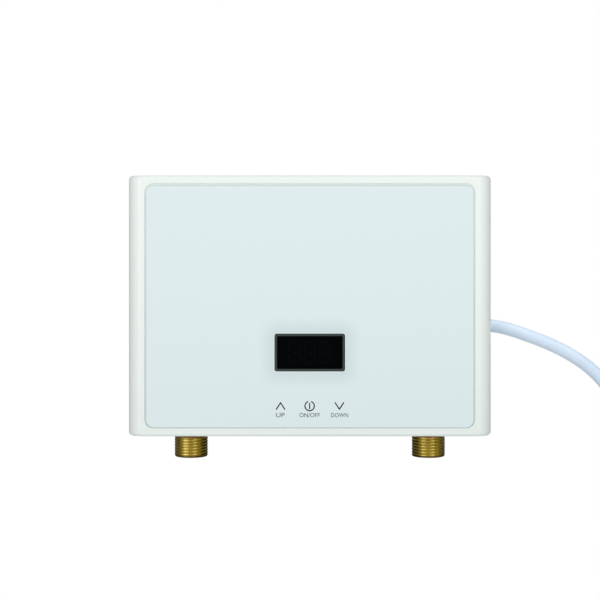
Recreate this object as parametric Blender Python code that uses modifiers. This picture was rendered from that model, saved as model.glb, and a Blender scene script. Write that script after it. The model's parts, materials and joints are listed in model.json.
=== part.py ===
# Electric tankless water heater for a wall: casing, touch front, water path, safety parts and mains lead.
# Metres, +Z up. The wall is the plane y = 0, the front looks along -Y, and X runs to the right seen from
# the front. The origin is the middle of the back face.
import math

import bmesh
import bpy
from mathutils import Matrix, Vector

# Clearances that many pieces share
seatGap = 0.0003
overrun = 0.001

# Casing
caseWidth = 0.225
caseHeight = 0.161
caseDepth = 0.052
caseWall = 0.0025
cornerRadius = 0.0024
coverDepth = 0.0104
sideCurveWidth = 0.0105
coverFloor = 0.0025
lipThickness = 0.0022
lipDepth = 0.0015
gasketThickness = 0.0012
gasketWidth = 0.002

# Glass front panel
glassSideMargin = 0.01185
glassTopMargin = 0.0069
glassFootMargin = 0.0055
glassThickness = 0.003
glassRadius = 0.0045
glassEdge = 0.0004
groove = 0.001
grooveDepth = 0.0006
padThickness = 0.0005
padInset = 0.003
padBand = 0.006

# Display window, its module and its board; rises are taken from the foot of the glass
displayWidth = 0.0429
displayHeight = 0.0227
displayRise = 0.0463
displayRadius = 0.0014
frameBand = 0.00115
frameProud = 0.0002
lensThickness = 0.002
ledDepth = 0.0066
boardThickness = 0.0016
boardWidth = 0.110
boardHeight = 0.056
boardClearance = 0.004
boardHoleInset = 0.006
boardPostRadius = 0.003
chipWidth = 0.012
chipDepth = 0.0015

# Touch marks, seen from the front
touchRise = 0.0134
touchPlaces = {"up": -0.0183, "power": 0.0, "down": 0.0179}
touchPadRadius = 0.003

# Case screws and their posts
screwInsetX = 0.0125
screwInsetZ = 0.0155
towerRadius = 0.005
towerEnd = 0.005
coverBossRadius = 0.0045
coverBossLength = 0.0201
pilotDepth = 0.012
screwShank = 0.0015
screwHeadRadius = 0.0034
screwHeadHeight = 0.0022

# Steel hanger plates let into the back
hangerInset = 0.0405
hangerHeadroom = 0.0305
hangerWidth = 0.040
hangerHeight = 0.046
hangerThickness = 0.002
hangerRadius = 0.004
hangerRim = 0.005
hangerPad = 0.0025
windowWidth = 0.028
windowHeight = 0.032
keyRadius = 0.0045
keyDrop = 0.006
keySlotWidth = 0.0046
keySlotRise = 0.007

# Water fittings, G 1/2 outside thread
fittingInset = 0.0375
fittingReach = 0.015
threadRadius = 0.01048
threadPitch = 0.001814
threadDepth = 0.0009
rimChamfer = 0.0011
boreRadius = 0.0075
upperBoreRadius = 0.006
upperBoreRise = 0.0245
floorHoleSpare = 0.0003
floorBossHeight = 0.005
flangeWidth = 0.036
flangeDepth = 0.022
flangeThickness = 0.004
flangeScrewReach = 0.0143
spigotRadius = 0.009
spigotHeight = 0.0047
strainerLength = 0.006
strainerWall = 0.0007
strainerBarWidth = 0.0012

# Flow sensor in line with the cold inlet
flowRadius = 0.012
flowBore = 0.0085
flowLength = 0.0345
spiderInset = 0.0037
spiderThickness = 0.003
spiderWidth = 0.003
shaftRadius = 0.001
shaftSocket = 0.0012
impellerLength = 0.016
impellerHub = 0.003
impellerReach = 0.0079
impellerBlades = 6
bladeThickness = 0.001
bladeTwist = math.radians(48)
bladeInset = 0.0006
bladeRoot = 0.0009
hallWidth = 0.008
hallDepth = 0.0026
hallHeight = 0.010

# Heating block and what sits on it
blockSideClearance = 0.003
blockHeadroom = 0.023
blockFootroom = 0.019
blockFrontroom = 0.0018
blockDepth = 0.016
blockEdge = 0.003
ridgeCount = 4
ridgeRadiusShare = 13 / 30
ridgeStand = 0.004
padWidth = 0.042
padHeight = 0.020
pipeRadius = 0.0045
pipeBend = 0.012
pipeRiseShare = 7 / 15
strapWidth = 0.007
strapThickness = 0.0015
strapFoot = 0.015
strapPostRadius = 0.005
terminalInset = 0.010
terminalRadius = 0.003
terminalHeight = 0.011
terminalCollar = 0.0045
cutoutSpread = 0.0215
cutoutRadius = 0.008
cutoutHeight = 0.005
cutoutNeck = 0.0045
cutoutNeckHeight = 0.0025
buttonRadius = 0.002
buttonLength = 0.005
buttonTravel = 0.001
buttonSocket = 0.0045
sensorRadius = 0.003
sensorLength = 0.015
sensorRise = 0.044

# Power board, its parts and the mains terminals
powerLeft = -0.050
powerRight = 0.036
powerFootroom = 0.008
powerHeight = 0.046
powerStand = 0.0072
relayWidth = 0.019
relayHeight = 0.015
relayDepth = 0.0155
relayX = -0.028
relayRise = 0.023
triacWidth = 0.010
triacHeight = 0.015
triacDepth = 0.0045
triacX = 0.010
triacRise = 0.023
supplyWidth = 0.020
supplyHeight = 0.012
supplyDepth = 0.012
supplyX = -0.006
supplyRise = 0.009
blockTerminalWidth = 0.018
blockTerminalHeight = 0.0135
blockTerminalRim = 0.0022
blockTerminalSpare = 0.001

# Mains lead: its bush, clamp, route, hank, tie and plug
cordDiameter = 0.0082
cordRise = 0.0673
bushNeck = 0.0052
bushFlange = 0.0067
bushFlangeThickness = 0.0025
bushRoot = 0.0062
bushTip = 0.005
bushLength = 0.02
clampInset = 0.0288
clampWidth = 0.008
clampWall = 0.0025
clampFoot = 0.0085
cordStep = 0.0195
cordRoute = (
    (0.1175, -0.0134), (0.1245, -0.0146), (0.1347, -0.0177), (0.1521, -0.0243), (0.1670, -0.0318),
    (0.1800, -0.0410), (0.1905, -0.0525), (0.1985, -0.0665), (0.2025, -0.0790), (0.2030, -0.0860),
)
hankRun = 0.123
hankPinch = 0.012
hankTurns = 3
hankLeast = 0.0250
hankStep = 0.0096
hankLayer = 0.0092
hankPointsPerTurn = 24
tieHeight = 0.010
tieThickness = 0.0016
tieSpare = 0.0004
tailLength = 0.045
reliefTop = 0.0058
reliefRoot = 0.0085
reliefLength = 0.024
plugRadius = 0.0185
plugShoulder = 0.006
plugLength = 0.036
plugEdge = 0.0015
pinSpacing = 0.019
pinRadius = 0.0024
pinLength = 0.019

# Places that follow from the sizes above
halfWidth = caseWidth / 2
halfHeight = caseHeight / 2
frontY = -caseDepth
seamY = frontY + coverDepth
shellFrontY = seamY + seatGap
innerX = halfWidth - caseWall
innerZ = halfHeight - caseWall
lipX = innerX - seatGap
lipZ = innerZ - seatGap
cavityX = lipX - lipThickness
cavityZ = lipZ - lipThickness
glassWidth = caseWidth - 2 * glassSideMargin
glassHeight = caseHeight - glassTopMargin - glassFootMargin
glassDrop = (glassTopMargin - glassFootMargin) / 2
glassFoot = -halfHeight + glassFootMargin
glassBackY = frontY + glassThickness
floorFrontY = glassBackY + padThickness + 2 * seatGap
floorBackY = floorFrontY + coverFloor
ledFrontY = frontY + lensThickness + 2 * seatGap
ledBackY = ledFrontY + ledDepth
boardFrontY = ledBackY + seatGap
boardBackY = boardFrontY + boardThickness
boardDrop = cavityZ - boardClearance - boardHeight / 2
displayDrop = -glassFoot - displayRise
touchDrop = -glassFoot - touchRise
towerDepth = -floorBackY - coverBossLength - seatGap
screwX = halfWidth - screwInsetX
screwZ = halfHeight - screwInsetZ
gasketBackY = seamY + lipDepth + seatGap + gasketThickness
fittingX = halfWidth - fittingInset
fittingY = gasketBackY + seatGap + flangeDepth / 2
fittingLow = -halfHeight - fittingReach
bossTop = -innerZ + floorBossHeight
flangeLow = bossTop + seatGap
flangeHigh = flangeLow + flangeThickness
spigotTop = flangeHigh + spigotHeight
flowLow = spigotTop + seatGap
flowHigh = flowLow + flowLength
shaftLow = flowLow + spiderInset + spiderThickness - shaftSocket
shaftHigh = flowHigh - spiderInset - spiderThickness + shaftSocket
powerLow = -innerZ + powerFootroom
powerHigh = powerLow + powerHeight
blockWidth = 2 * (fittingX - flowRadius - blockSideClearance)
blockHigh = innerZ - blockHeadroom
blockLow = powerHigh + blockFootroom
blockHeight = blockHigh - blockLow
buttonTipY = floorBackY + blockFrontroom
buttonBaseY = buttonTipY + buttonLength
cutoutFrontY = buttonBaseY + buttonTravel + seatGap - buttonSocket
ridgeFrontY = cutoutFrontY + cutoutNeckHeight + cutoutHeight + seatGap
blockFrontY = ridgeFrontY + ridgeStand
blockBack = -blockFrontY - blockDepth
ridgeRadius = ridgeRadiusShare * blockHeight / ridgeCount
terminalX = blockWidth / 2 - terminalInset
strapX = (cutoutSpread / 2 + cutoutRadius + terminalX - terminalCollar) / 2
strapPostDepth = blockBack - strapThickness - seatGap
hangerX = halfWidth - hangerInset
hangerRise = halfHeight - hangerHeadroom
cordDrop = halfHeight - cordRise
cordRadius = cordDiameter / 2
cordY = fittingY + pipeRadius + seatGap + cordRadius
clampLeft = halfWidth - clampInset
blockTerminalRight = fittingX - pipeRadius - blockTerminalSpare
powerBackY = -caseWall - powerStand - seatGap
powerFrontY = powerBackY - boardThickness
hankX = cordRoute[-1][0]
runLow = cordRoute[-1][1] - cordRadius
hankTop = runLow - seatGap - cordDiameter

partsCollection = bpy.data.collections.new("tankless_water_heater")
cuttersCollection = bpy.data.collections.new("cutters")


# Scene and materials

def clearScene():
    for old in list(bpy.data.objects):
        bpy.data.objects.remove(old, do_unlink=True)
    for collection in (partsCollection, cuttersCollection):
        bpy.context.scene.collection.children.link(collection)


def finish(name, colour, roughness, metallic=0.0):
    made = bpy.data.materials.get(name)
    if made is None:
        made = bpy.data.materials.new(name)
        made.use_nodes = True
        shader = made.node_tree.nodes["Principled BSDF"]
        shader.inputs["Base Color"].default_value = (*colour, 1.0)
        shader.inputs["Roughness"].default_value = roughness
        shader.inputs["Metallic"].default_value = metallic
        made.diffuse_color = (*colour, 1.0)
    return made


def whitePlastic():
    return finish("white_plastic", (0.84, 0.88, 0.86), 0.32)


def paleGlass():
    return finish("pale_glass", (0.72, 0.80, 0.80), 0.06)


def darkTrim():
    return finish("dark_trim", (0.05, 0.065, 0.065), 0.35)


def blackLens():
    return finish("black_lens", (0.003, 0.003, 0.004), 0.08)


def brass():
    return finish("brass", (0.56, 0.42, 0.13), 0.28, 1.0)


def castAluminium():
    return finish("cast_aluminium", (0.62, 0.63, 0.64), 0.5, 1.0)


def zincSteel():
    return finish("zinc_steel", (0.66, 0.67, 0.69), 0.35, 1.0)


def copper():
    return finish("copper", (0.72, 0.40, 0.25), 0.3, 1.0)


def blackRubber():
    return finish("black_rubber", (0.03, 0.03, 0.032), 0.75)


def circuitBoard():
    return finish("circuit_board", (0.03, 0.22, 0.09), 0.45)


def blackResin():
    return finish("black_resin", (0.02, 0.02, 0.022), 0.4)


def innerNylon():
    return finish("inner_nylon", (0.80, 0.78, 0.72), 0.5)


def cordSheath():
    return finish("cord_sheath", (0.62, 0.74, 0.86), 0.45)


def plugPlastic():
    return finish("plug_plastic", (0.80, 0.84, 0.88), 0.4)


# Ways of making a piece

def place(name, mesh, material, origin=(0, 0, 0), turn=(0, 0, 0), collection=None):
    made = bpy.data.objects.new(name, mesh)
    made.location = origin
    made.rotation_euler = turn
    (collection or partsCollection).objects.link(made)
    if material:
        mesh.materials.append(material)
    return made


def faceOut(shape):
    bmesh.ops.recalc_face_normals(shape, faces=shape.faces)
    if shape.calc_volume(signed=True) < 0:
        bmesh.ops.reverse_faces(shape, faces=shape.faces)


def meshOf(name, shape):
    faceOut(shape)
    mesh = bpy.data.meshes.new(name)
    shape.to_mesh(mesh)
    shape.free()
    return mesh


def addBox(shape, low, high):
    low, high = Vector(low), Vector(high)
    grown = bmesh.ops.create_cube(shape, size=1)
    bmesh.ops.scale(shape, vec=high - low, verts=grown["verts"])
    bmesh.ops.translate(shape, vec=(low + high) / 2, verts=grown["verts"])


def addRod(shape, start, end, radius, endRadius=None, sides=16):
    start, end = Vector(start), Vector(end)
    along = end - start
    turn = along.to_track_quat("Z", "Y").to_matrix().to_4x4()
    bmesh.ops.create_cone(
        shape, cap_ends=True, segments=sides, radius1=radius, radius2=endRadius or radius, depth=along.length,
        matrix=Matrix.Translation((start + end) / 2) @ turn,
    )


def helper(name, boxes=(), rods=()):
    # A cutter or an addition: boxes and rods that don't touch each other, in one hidden object
    shape = bmesh.new()
    for low, high in boxes:
        addBox(shape, low, high)
    for rod in rods:
        addRod(shape, *rod)
    return hide(place(name, meshOf(name, shape), None, collection=cuttersCollection))


def hide(made):
    made.hide_render = True
    made.display_type = "WIRE"
    return made


def asCutter(made):
    # A finished outline or turned shape moves to the cutters
    partsCollection.objects.unlink(made)
    cuttersCollection.objects.link(made)
    return hide(made)


def combine(target, other, operation):
    step = target.modifiers.new(other.name, "BOOLEAN")
    step.operation = operation
    step.object = other
    step.solver = "EXACT"


def cut(target, *others):
    for other in others:
        combine(target, other, "DIFFERENCE")


def join(target, *others):
    for other in others:
        combine(target, other, "UNION")


def roundEdges(target, width, segments=2, angle=50):
    step = target.modifiers.new("rounding", "BEVEL")
    step.width = width
    step.segments = segments
    step.limit_method = "ANGLE"
    step.angle_limit = math.radians(angle)


def bevelSharp(target, chosen, width, segments=3):
    # Rounds the sharp edges whose middle passes the test
    shape = bmesh.new()
    shape.from_mesh(target.data)
    edges = [
        edge for edge in shape.edges
        if edge.calc_face_angle(0) > math.radians(50) and chosen((edge.verts[0].co + edge.verts[1].co) / 2)
    ]
    bmesh.ops.bevel(shape, geom=edges, offset=width, segments=segments, profile=0.5, affect="EDGES")
    faceOut(shape)
    shape.to_mesh(target.data)
    shape.free()


def smooth(target, angle=35):
    target.data.shade_smooth()
    target.data.set_sharp_from_angle(angle=math.radians(angle))
    return target


def block(name, low, high, material, edge=0, segments=2):
    low, high = Vector(low), Vector(high)
    middle = (low + high) / 2
    shape = bmesh.new()
    addBox(shape, low - middle, high - middle)
    made = place(name, meshOf(name, shape), material, origin=middle)
    if edge:
        roundEdges(made, edge, segments)
    return made


def turned(name, profile, material, origin, turn=(0, 0, 0), steps=24, closed=False):
    # The profile holds (radius, height) and runs down the outer side, top to bottom
    shape = bmesh.new()
    points = [shape.verts.new((radius, 0, height)) for radius, height in profile]
    for first, second in zip(points, points[1:]):
        shape.edges.new((first, second))
    if closed:
        shape.edges.new((points[-1], points[0]))
    mesh = bpy.data.meshes.new(name)
    shape.to_mesh(mesh)
    shape.free()
    made = place(name, mesh, material, origin, turn)
    step = made.modifiers.new("turning", "SCREW")
    step.steps = steps
    step.render_steps = steps
    step.use_merge_vertices = True
    step.merge_threshold = overrun / 100
    step.use_smooth_shade = True
    return made


def outlined(name, outlines, thickness, material, origin=(0, 0, 0), turn=(0, 0, 0)):
    # A flat outline, with any holes as further outlines, made thick about its own middle plane
    curve = bpy.data.curves.new(name, "CURVE")
    curve.dimensions = "2D"
    curve.fill_mode = "BOTH"
    curve.extrude = thickness / 2
    for outline in outlines:
        spline = curve.splines.new("POLY")
        spline.points.add(len(outline) - 1)
        for point, (across, up) in zip(spline.points, outline):
            point.co = (across, up, 0, 1)
        spline.use_cyclic_u = True
    made = place(name, curve, None, origin, turn)
    return solidified(made, material)


def solidified(made, material):
    # The mesh of a curve object, with its loose caps welded, in the curve's place
    name = made.name
    bpy.context.view_layer.update()
    graph = bpy.context.evaluated_depsgraph_get()
    mesh = bpy.data.meshes.new_from_object(made.evaluated_get(graph))
    placeMatrix = made.matrix_world.copy()
    bpy.data.objects.remove(made, do_unlink=True)
    shape = bmesh.new()
    shape.from_mesh(mesh)
    bmesh.ops.remove_doubles(shape, verts=shape.verts, dist=overrun / 100)
    bmesh.ops.dissolve_limit(shape, angle_limit=math.radians(1), verts=shape.verts, edges=shape.edges)
    faceOut(shape)
    shape.to_mesh(mesh)
    shape.free()
    mesh.materials.clear()
    fresh = place(name, mesh, material)
    fresh.matrix_world = placeMatrix
    return fresh


def tube(name, points, radius, material, resolution=2):
    curve = bpy.data.curves.new(name, "CURVE")
    curve.dimensions = "3D"
    curve.bevel_depth = radius
    curve.bevel_resolution = resolution
    curve.use_fill_caps = True
    spline = curve.splines.new("POLY")
    spline.points.add(len(points) - 1)
    for point, where in zip(spline.points, points):
        point.co = (*where, 1)
    spline.use_smooth = True
    return place(name, curve, material)


def roundedOutline(width, height, radius, centre=(0, 0), arcSteps=4):
    points = []
    corners = ((1, 1, 0), (-1, 1, 90), (-1, -1, 180), (1, -1, 270))
    for sideX, sideZ, start in corners:
        for step in range(arcSteps + 1):
            angle = math.radians(start + 90 * step / arcSteps)
            across = centre[0] + sideX * (width / 2 - radius) + radius * math.cos(angle)
            up = centre[1] + sideZ * (height / 2 - radius) + radius * math.sin(angle)
            points.append((across, up))
    return points


def facingFront():
    # Turns a flat outline so that its own up is +Z and it looks along -Y
    return (math.radians(90), 0, 0)


def facingRight():
    # Turns a flat outline of (depth from the wall, height) into the plane across X
    return (math.radians(90), 0, math.radians(-90))


def fourWays(across, up):
    return [(sideX * across, sideZ * up) for sideX in (-1, 1) for sideZ in (-1, 1)]


# Casing

def hangerPlaces():
    return [("left", -hangerX), ("right", hangerX)]


def isShellCorner(middle):
    return middle.y > -overrun or (abs(middle.x) > innerX and abs(middle.z) > innerZ)


def isCoverCorner(middle):
    return abs(middle.z) > innerZ and middle.y < seamY - seatGap


def makeBackShell():
    shape = bmesh.new()
    addBox(shape, (-halfWidth, shellFrontY, -halfHeight), (halfWidth, 0, halfHeight))
    shell = place("back_shell", meshOf("back_shell", shape), whitePlastic())
    bevelSharp(shell, isShellCorner, cornerRadius)
    cavity = ((-innerX, shellFrontY - overrun, -innerZ), (innerX, -caseWall, innerZ))
    cut(shell, helper("shell_cavity", boxes=[cavity]))
    join(shell, shellPosts(), *shellPads())
    cut(shell, *shellCuts())
    return smooth(shell)


def shellPosts():
    root = -caseWall / 2
    rods = [((x, root, z), (x, -towerDepth, z), towerRadius) for x, z in fourWays(screwX, screwZ)]
    postLow = blockLow - seatGap - strapThickness / 2 - strapFoot / 2
    postHigh = blockHigh + seatGap + strapThickness / 2 + strapFoot / 2
    for x in (-strapX, strapX):
        for z in (postLow, postHigh):
            rods.append(((x, root, z), (x, -strapPostDepth, z), strapPostRadius))
    for x, z in powerPostPlaces():
        rods.append(((x, root, z), (x, powerBackY + seatGap, z), boardPostRadius))
    return helper("shell_posts", rods=rods)


def powerPostPlaces():
    xs = (powerLeft + boardHoleInset, powerRight - boardHoleInset)
    zs = (powerLow + boardHoleInset, powerHigh - boardHoleInset)
    return [(x, z) for x in xs for z in zs]


def shellPads():
    # Flat seats inside: floor bosses of the fittings, hanger pads and the seat of the lead's clamp
    root = caseWall / 2
    bosses = []
    for x in (-fittingX, fittingX):
        low = (x - flangeWidth / 2, fittingY - flangeDepth / 2, -innerZ - root)
        bosses.append((low, (x + flangeWidth / 2, fittingY + flangeDepth / 2, bossTop)))
    halfPadX = hangerWidth / 2 + hangerRim
    halfPadZ = hangerHeight / 2 + hangerRim
    pads = []
    for _, x in hangerPlaces():
        low = (x - halfPadX, -caseWall - hangerPad, hangerRise - halfPadZ)
        pads.append((low, (x + halfPadX, -root, hangerRise + halfPadZ)))
    seatHalf = cordRadius + clampWall + clampFoot
    low = (clampLeft, cordY + cordRadius + seatGap, -cordDrop - seatHalf)
    seat = (low, (clampLeft + clampWidth, -root, -cordDrop + seatHalf))
    return [
        helper("fitting_bosses", boxes=bosses), helper("hanger_pads", boxes=pads), helper("clamp_seat", boxes=[seat]),
    ]


def shellCuts():
    towerHoles = []
    for x, z in fourWays(screwX, screwZ):
        towerHoles.append(((x, overrun, z), (x, -towerDepth + towerEnd, z), screwHeadRadius + seatGap))
    screwHoles = []
    for x, z in fourWays(screwX, screwZ):
        screwHoles.append(((x, 0, z), (x, -towerDepth - overrun, z), screwShank + seatGap))
    fittingHoles = []
    for x in (-fittingX, fittingX):
        radius = threadRadius + floorHoleSpare
        fittingHoles.append(((x, fittingY, -halfHeight - overrun), (x, fittingY, bossTop + overrun), radius))
    for x, z in flangeScrewPlaces():
        fittingHoles.append(((x, fittingY, -innerZ), (x, fittingY, bossTop + overrun), screwShank + seatGap))
    strapHigh = blockHigh + seatGap + strapThickness / 2 + strapFoot / 2
    strapHoles = [
        ((x, -caseWall, strapHigh), (x, -strapPostDepth - overrun, strapHigh), screwShank + seatGap)
        for x in (-strapX, strapX)
    ]
    for x, z in clampScrewPlaces():
        seatFront = cordY + cordRadius + seatGap
        strapHoles.append(((x, -caseWall, z), (x, seatFront - overrun, z), screwShank + seatGap))
    cordHole = ((innerX - overrun, cordY, -cordDrop), (halfWidth + overrun, cordY, -cordDrop), bushNeck + seatGap)
    cuts = [
        helper("tower_holes", rods=towerHoles), helper("screw_holes", rods=screwHoles),
        helper("fitting_holes", rods=fittingHoles), helper("strap_holes", rods=strapHoles),
        helper("cord_hole", rods=[cordHole]),
    ]
    return cuts + hangerRecesses()


def flangeScrewPlaces():
    return [(side * fittingX + reach, 0) for side in (-1, 1) for reach in (-flangeScrewReach, flangeScrewReach)]


def clampScrewPlaces():
    reach = cordRadius + clampWall + clampFoot / 2
    x = clampLeft + clampWidth / 2
    return [(x, -cordDrop - reach), (x, -cordDrop + reach)]


def hangerRecesses():
    recesses = []
    windows = []
    for _, x in hangerPlaces():
        halfX = hangerWidth / 2 + seatGap
        halfZ = hangerHeight / 2 + seatGap
        low = (x - halfX, -hangerThickness - seatGap, hangerRise - halfZ)
        recesses.append((low, (x + halfX, overrun, hangerRise + halfZ)))
        low = (x - windowWidth / 2, -caseWall - hangerPad - overrun, hangerRise - windowHeight / 2)
        windows.append((low, (x + windowWidth / 2, 0, hangerRise + windowHeight / 2)))
    return [helper("hanger_recesses", boxes=recesses), helper("hanger_windows", boxes=windows)]


def makeHangers():
    for side, x in hangerPlaces():
        plate = outlined(
            f"hanger_plate_{side}",
            [roundedOutline(hangerWidth, hangerHeight, hangerRadius), keyOutline()],
            hangerThickness, zincSteel(), (x, -hangerThickness / 2, hangerRise), facingFront(),
        )
        smooth(plate)


def keyOutline():
    # A round hole below, for the screw's head, and a narrow slot above it with a round end
    half = keySlotWidth / 2
    start = math.asin(half / keyRadius)
    points = []
    for step in range(17):
        angle = start + (2 * math.pi - 2 * start) * step / 16
        points.append((keyRadius * math.sin(angle), -keyDrop + keyRadius * math.cos(angle)))
    for step in range(7):
        angle = math.pi * step / 6
        points.append((-half * math.cos(angle), keySlotRise + half * math.sin(angle)))
    return points


def makeFrontCover():
    arc = 10
    quarter = [math.pi / 2 * step / arc for step in range(arc + 1)]
    centre = halfWidth - sideCurveWidth
    right = [(centre + sideCurveWidth * math.cos(a), seamY - coverDepth * math.sin(a)) for a in quarter]
    left = [(-x, y) for x, y in reversed(right)]
    cover = outlined("front_cover", [right + left], caseHeight, whitePlastic())
    bevelSharp(cover, isCoverCorner, cornerRadius)
    lip = ((-lipX, seamY - overrun, -lipZ), (lipX, seamY + lipDepth, lipZ))
    cavity = ((-cavityX, floorBackY, -cavityZ), (cavityX, seamY + lipDepth + overrun, cavityZ))
    join(cover, helper("cover_lip", boxes=[lip]))
    cut(cover, *glassRecess(), helper("cover_cavity", boxes=[cavity]))
    join(cover, coverPosts())
    cut(cover, *coverHoles())
    return smooth(cover)


def glassRecess():
    # A shallow groove round the panel, then the pocket it drops into
    cuts = []
    for name, spare, floor in (("glass_groove", groove, grooveDepth), ("glass_pocket", seatGap, floorFrontY - frontY)):
        outline = roundedOutline(glassWidth + 2 * spare, glassHeight + 2 * spare, glassRadius + spare)
        depth = floor + overrun
        middle = (0, frontY - overrun + depth / 2, -glassDrop)
        cuts.append(asCutter(outlined(name, [outline], depth, None, middle, facingFront())))
    return cuts


def boardPostPlaces():
    return [(x, z - boardDrop) for x, z in fourWays(boardWidth / 2 - boardHoleInset, boardHeight / 2 - boardHoleInset)]


def coverPosts():
    root = floorBackY - coverFloor / 2
    rods = [((x, root, z), (x, boardFrontY - seatGap, z), boardPostRadius) for x, z in boardPostPlaces()]
    bossEnd = -towerDepth - seatGap
    rods += [((x, root, z), (x, bossEnd, z), coverBossRadius) for x, z in fourWays(screwX, screwZ)]
    return helper("cover_posts", rods=rods)


def coverHoles():
    bossEnd = -towerDepth - seatGap
    pilots = []
    for x, z in fourWays(screwX, screwZ):
        pilots.append(((x, bossEnd - pilotDepth, z), (x, bossEnd + overrun, z), screwShank + seatGap))
    touches = []
    for x in touchPlaces.values():
        start = (x, floorFrontY - overrun, -touchDrop)
        touches.append((start, (x, floorBackY + overrun, -touchDrop), touchPadRadius + seatGap))
    halfX = displayWidth / 2
    halfZ = displayHeight / 2
    low = (-halfX, floorFrontY - overrun, -displayDrop - halfZ)
    opening = (low, (halfX, floorBackY + overrun, -displayDrop + halfZ))
    return [
        helper("pilot_holes", rods=pilots), helper("touch_holes", rods=touches),
        helper("display_opening", boxes=[opening]),
    ]


def makeGasket():
    outer = roundedOutline(2 * lipX, 2 * lipZ, cornerRadius)
    inner = roundedOutline(2 * lipX - 2 * gasketWidth, 2 * lipZ - 2 * gasketWidth, cornerRadius / 2)
    middle = (0, gasketBackY - gasketThickness / 2, 0)
    outlined("cover_gasket", [outer, inner], gasketThickness, blackRubber(), middle, facingFront())


def screwProfile(length, head=screwHeadRadius):
    # From the middle of the head's top down to the tip, with the head's underside at height zero
    return [
        (0, screwHeadHeight), (head / 2, screwHeadHeight), (head, screwHeadHeight / 2), (head, 0),
        (screwShank, 0), (screwShank, -length + screwShank), (0, -length),
    ]


def makeCaseScrews():
    headY = -towerDepth + towerEnd + seatGap
    length = towerEnd + pilotDepth - 2 * seatGap
    for number, (x, z) in enumerate(fourWays(screwX, screwZ), 1):
        turned(
            f"case_screw_{number}", screwProfile(length), zincSteel(), (x, headY, z),
            (math.radians(-90), 0, 0), steps=12,
        )


# Glass front and display

def makeGlassPanel():
    outer = roundedOutline(glassWidth, glassHeight, glassRadius, arcSteps=6)
    rise = glassDrop - displayDrop
    window = roundedOutline(
        displayWidth + 2 * seatGap, displayHeight + 2 * seatGap, displayRadius + seatGap, (0, rise), 3,
    )
    middle = (0, frontY + glassThickness / 2, -glassDrop)
    panel = outlined("glass_panel", [outer, window], glassThickness, paleGlass(), middle, facingFront())
    roundEdges(panel, glassEdge, segments=1)
    smooth(panel)


def makePanelPad():
    outerWidth = glassWidth - 2 * padInset
    outerHeight = glassHeight - 2 * padInset
    outer = roundedOutline(outerWidth, outerHeight, glassRadius / 2)
    inner = roundedOutline(outerWidth - 2 * padBand, outerHeight - 2 * padBand, glassRadius / 2)
    middle = (0, glassBackY + seatGap + padThickness / 2, -glassDrop)
    outlined("panel_pad", [outer, inner], padThickness, blackRubber(), middle, facingFront())


def makeDisplay():
    depth = glassThickness + frameProud
    outer = roundedOutline(displayWidth, displayHeight, displayRadius, arcSteps=3)
    innerWidth = displayWidth - 2 * frameBand
    innerHeight = displayHeight - 2 * frameBand
    inner = roundedOutline(innerWidth, innerHeight, displayRadius / 2, arcSteps=3)
    middle = (0, glassBackY - depth / 2, -displayDrop)
    smooth(outlined("display_frame", [outer, inner], depth, darkTrim(), middle, facingFront()))
    lens = roundedOutline(
        innerWidth - 2 * seatGap, innerHeight - 2 * seatGap, displayRadius / 2 - seatGap, arcSteps=3,
    )
    middle = (0, ledFrontY - seatGap - lensThickness / 2, -displayDrop)
    smooth(outlined("display_lens", [lens], lensThickness, blackLens(), middle, facingFront()))
    halfX = innerWidth / 2 - 2 * seatGap
    halfZ = innerHeight / 2 - 2 * seatGap
    low = (-halfX, ledFrontY, -displayDrop - halfZ)
    block("led_module", low, (halfX, ledBackY, -displayDrop + halfZ), blackResin())


def makeDisplayBoard():
    shape = bmesh.new()
    addBox(shape, (-boardWidth / 2, boardFrontY, -boardDrop - boardHeight / 2),
           (boardWidth / 2, boardBackY, -boardDrop + boardHeight / 2))
    board = place("display_board", meshOf("display_board", shape), circuitBoard())
    chip = (
        (-chipWidth / 2, boardBackY - overrun, -boardDrop - chipWidth / 2),
        (chipWidth / 2, boardBackY + chipDepth, -boardDrop + chipWidth / 2),
    )
    join(board, helper("board_chip", boxes=[chip]))


def makeTouchPads():
    for name, x in touchPlaces.items():
        start = (x, glassBackY + seatGap, -touchDrop)
        shape = bmesh.new()
        addRod(shape, (0, 0, 0), (0, boardFrontY - seatGap - start[1], 0), touchPadRadius, sides=12)
        place(f"touch_pad_{name}", meshOf(f"touch_pad_{name}", shape), blackRubber(), start)


# Water path

def fittingProfile():
    # Down the outer side, then up the bore
    crests = int(fittingReach // threadPitch)
    outer = [(spigotRadius, spigotTop), (spigotRadius, flangeHigh - overrun)]
    outer += [(threadRadius, flangeHigh - overrun), (threadRadius, -halfHeight)]
    for turn in range(crests - 1):
        crest = -halfHeight - threadPitch * turn
        outer.append((threadRadius - threadDepth, crest - threadPitch / 2))
        outer.append((threadRadius, crest - threadPitch))
    outer += [(threadRadius, fittingLow + rimChamfer), (threadRadius - rimChamfer, fittingLow)]
    step = fittingLow + upperBoreRise
    return outer + [
        (boreRadius, fittingLow), (boreRadius, step), (upperBoreRadius, step), (upperBoreRadius, spigotTop),
    ]


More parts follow.
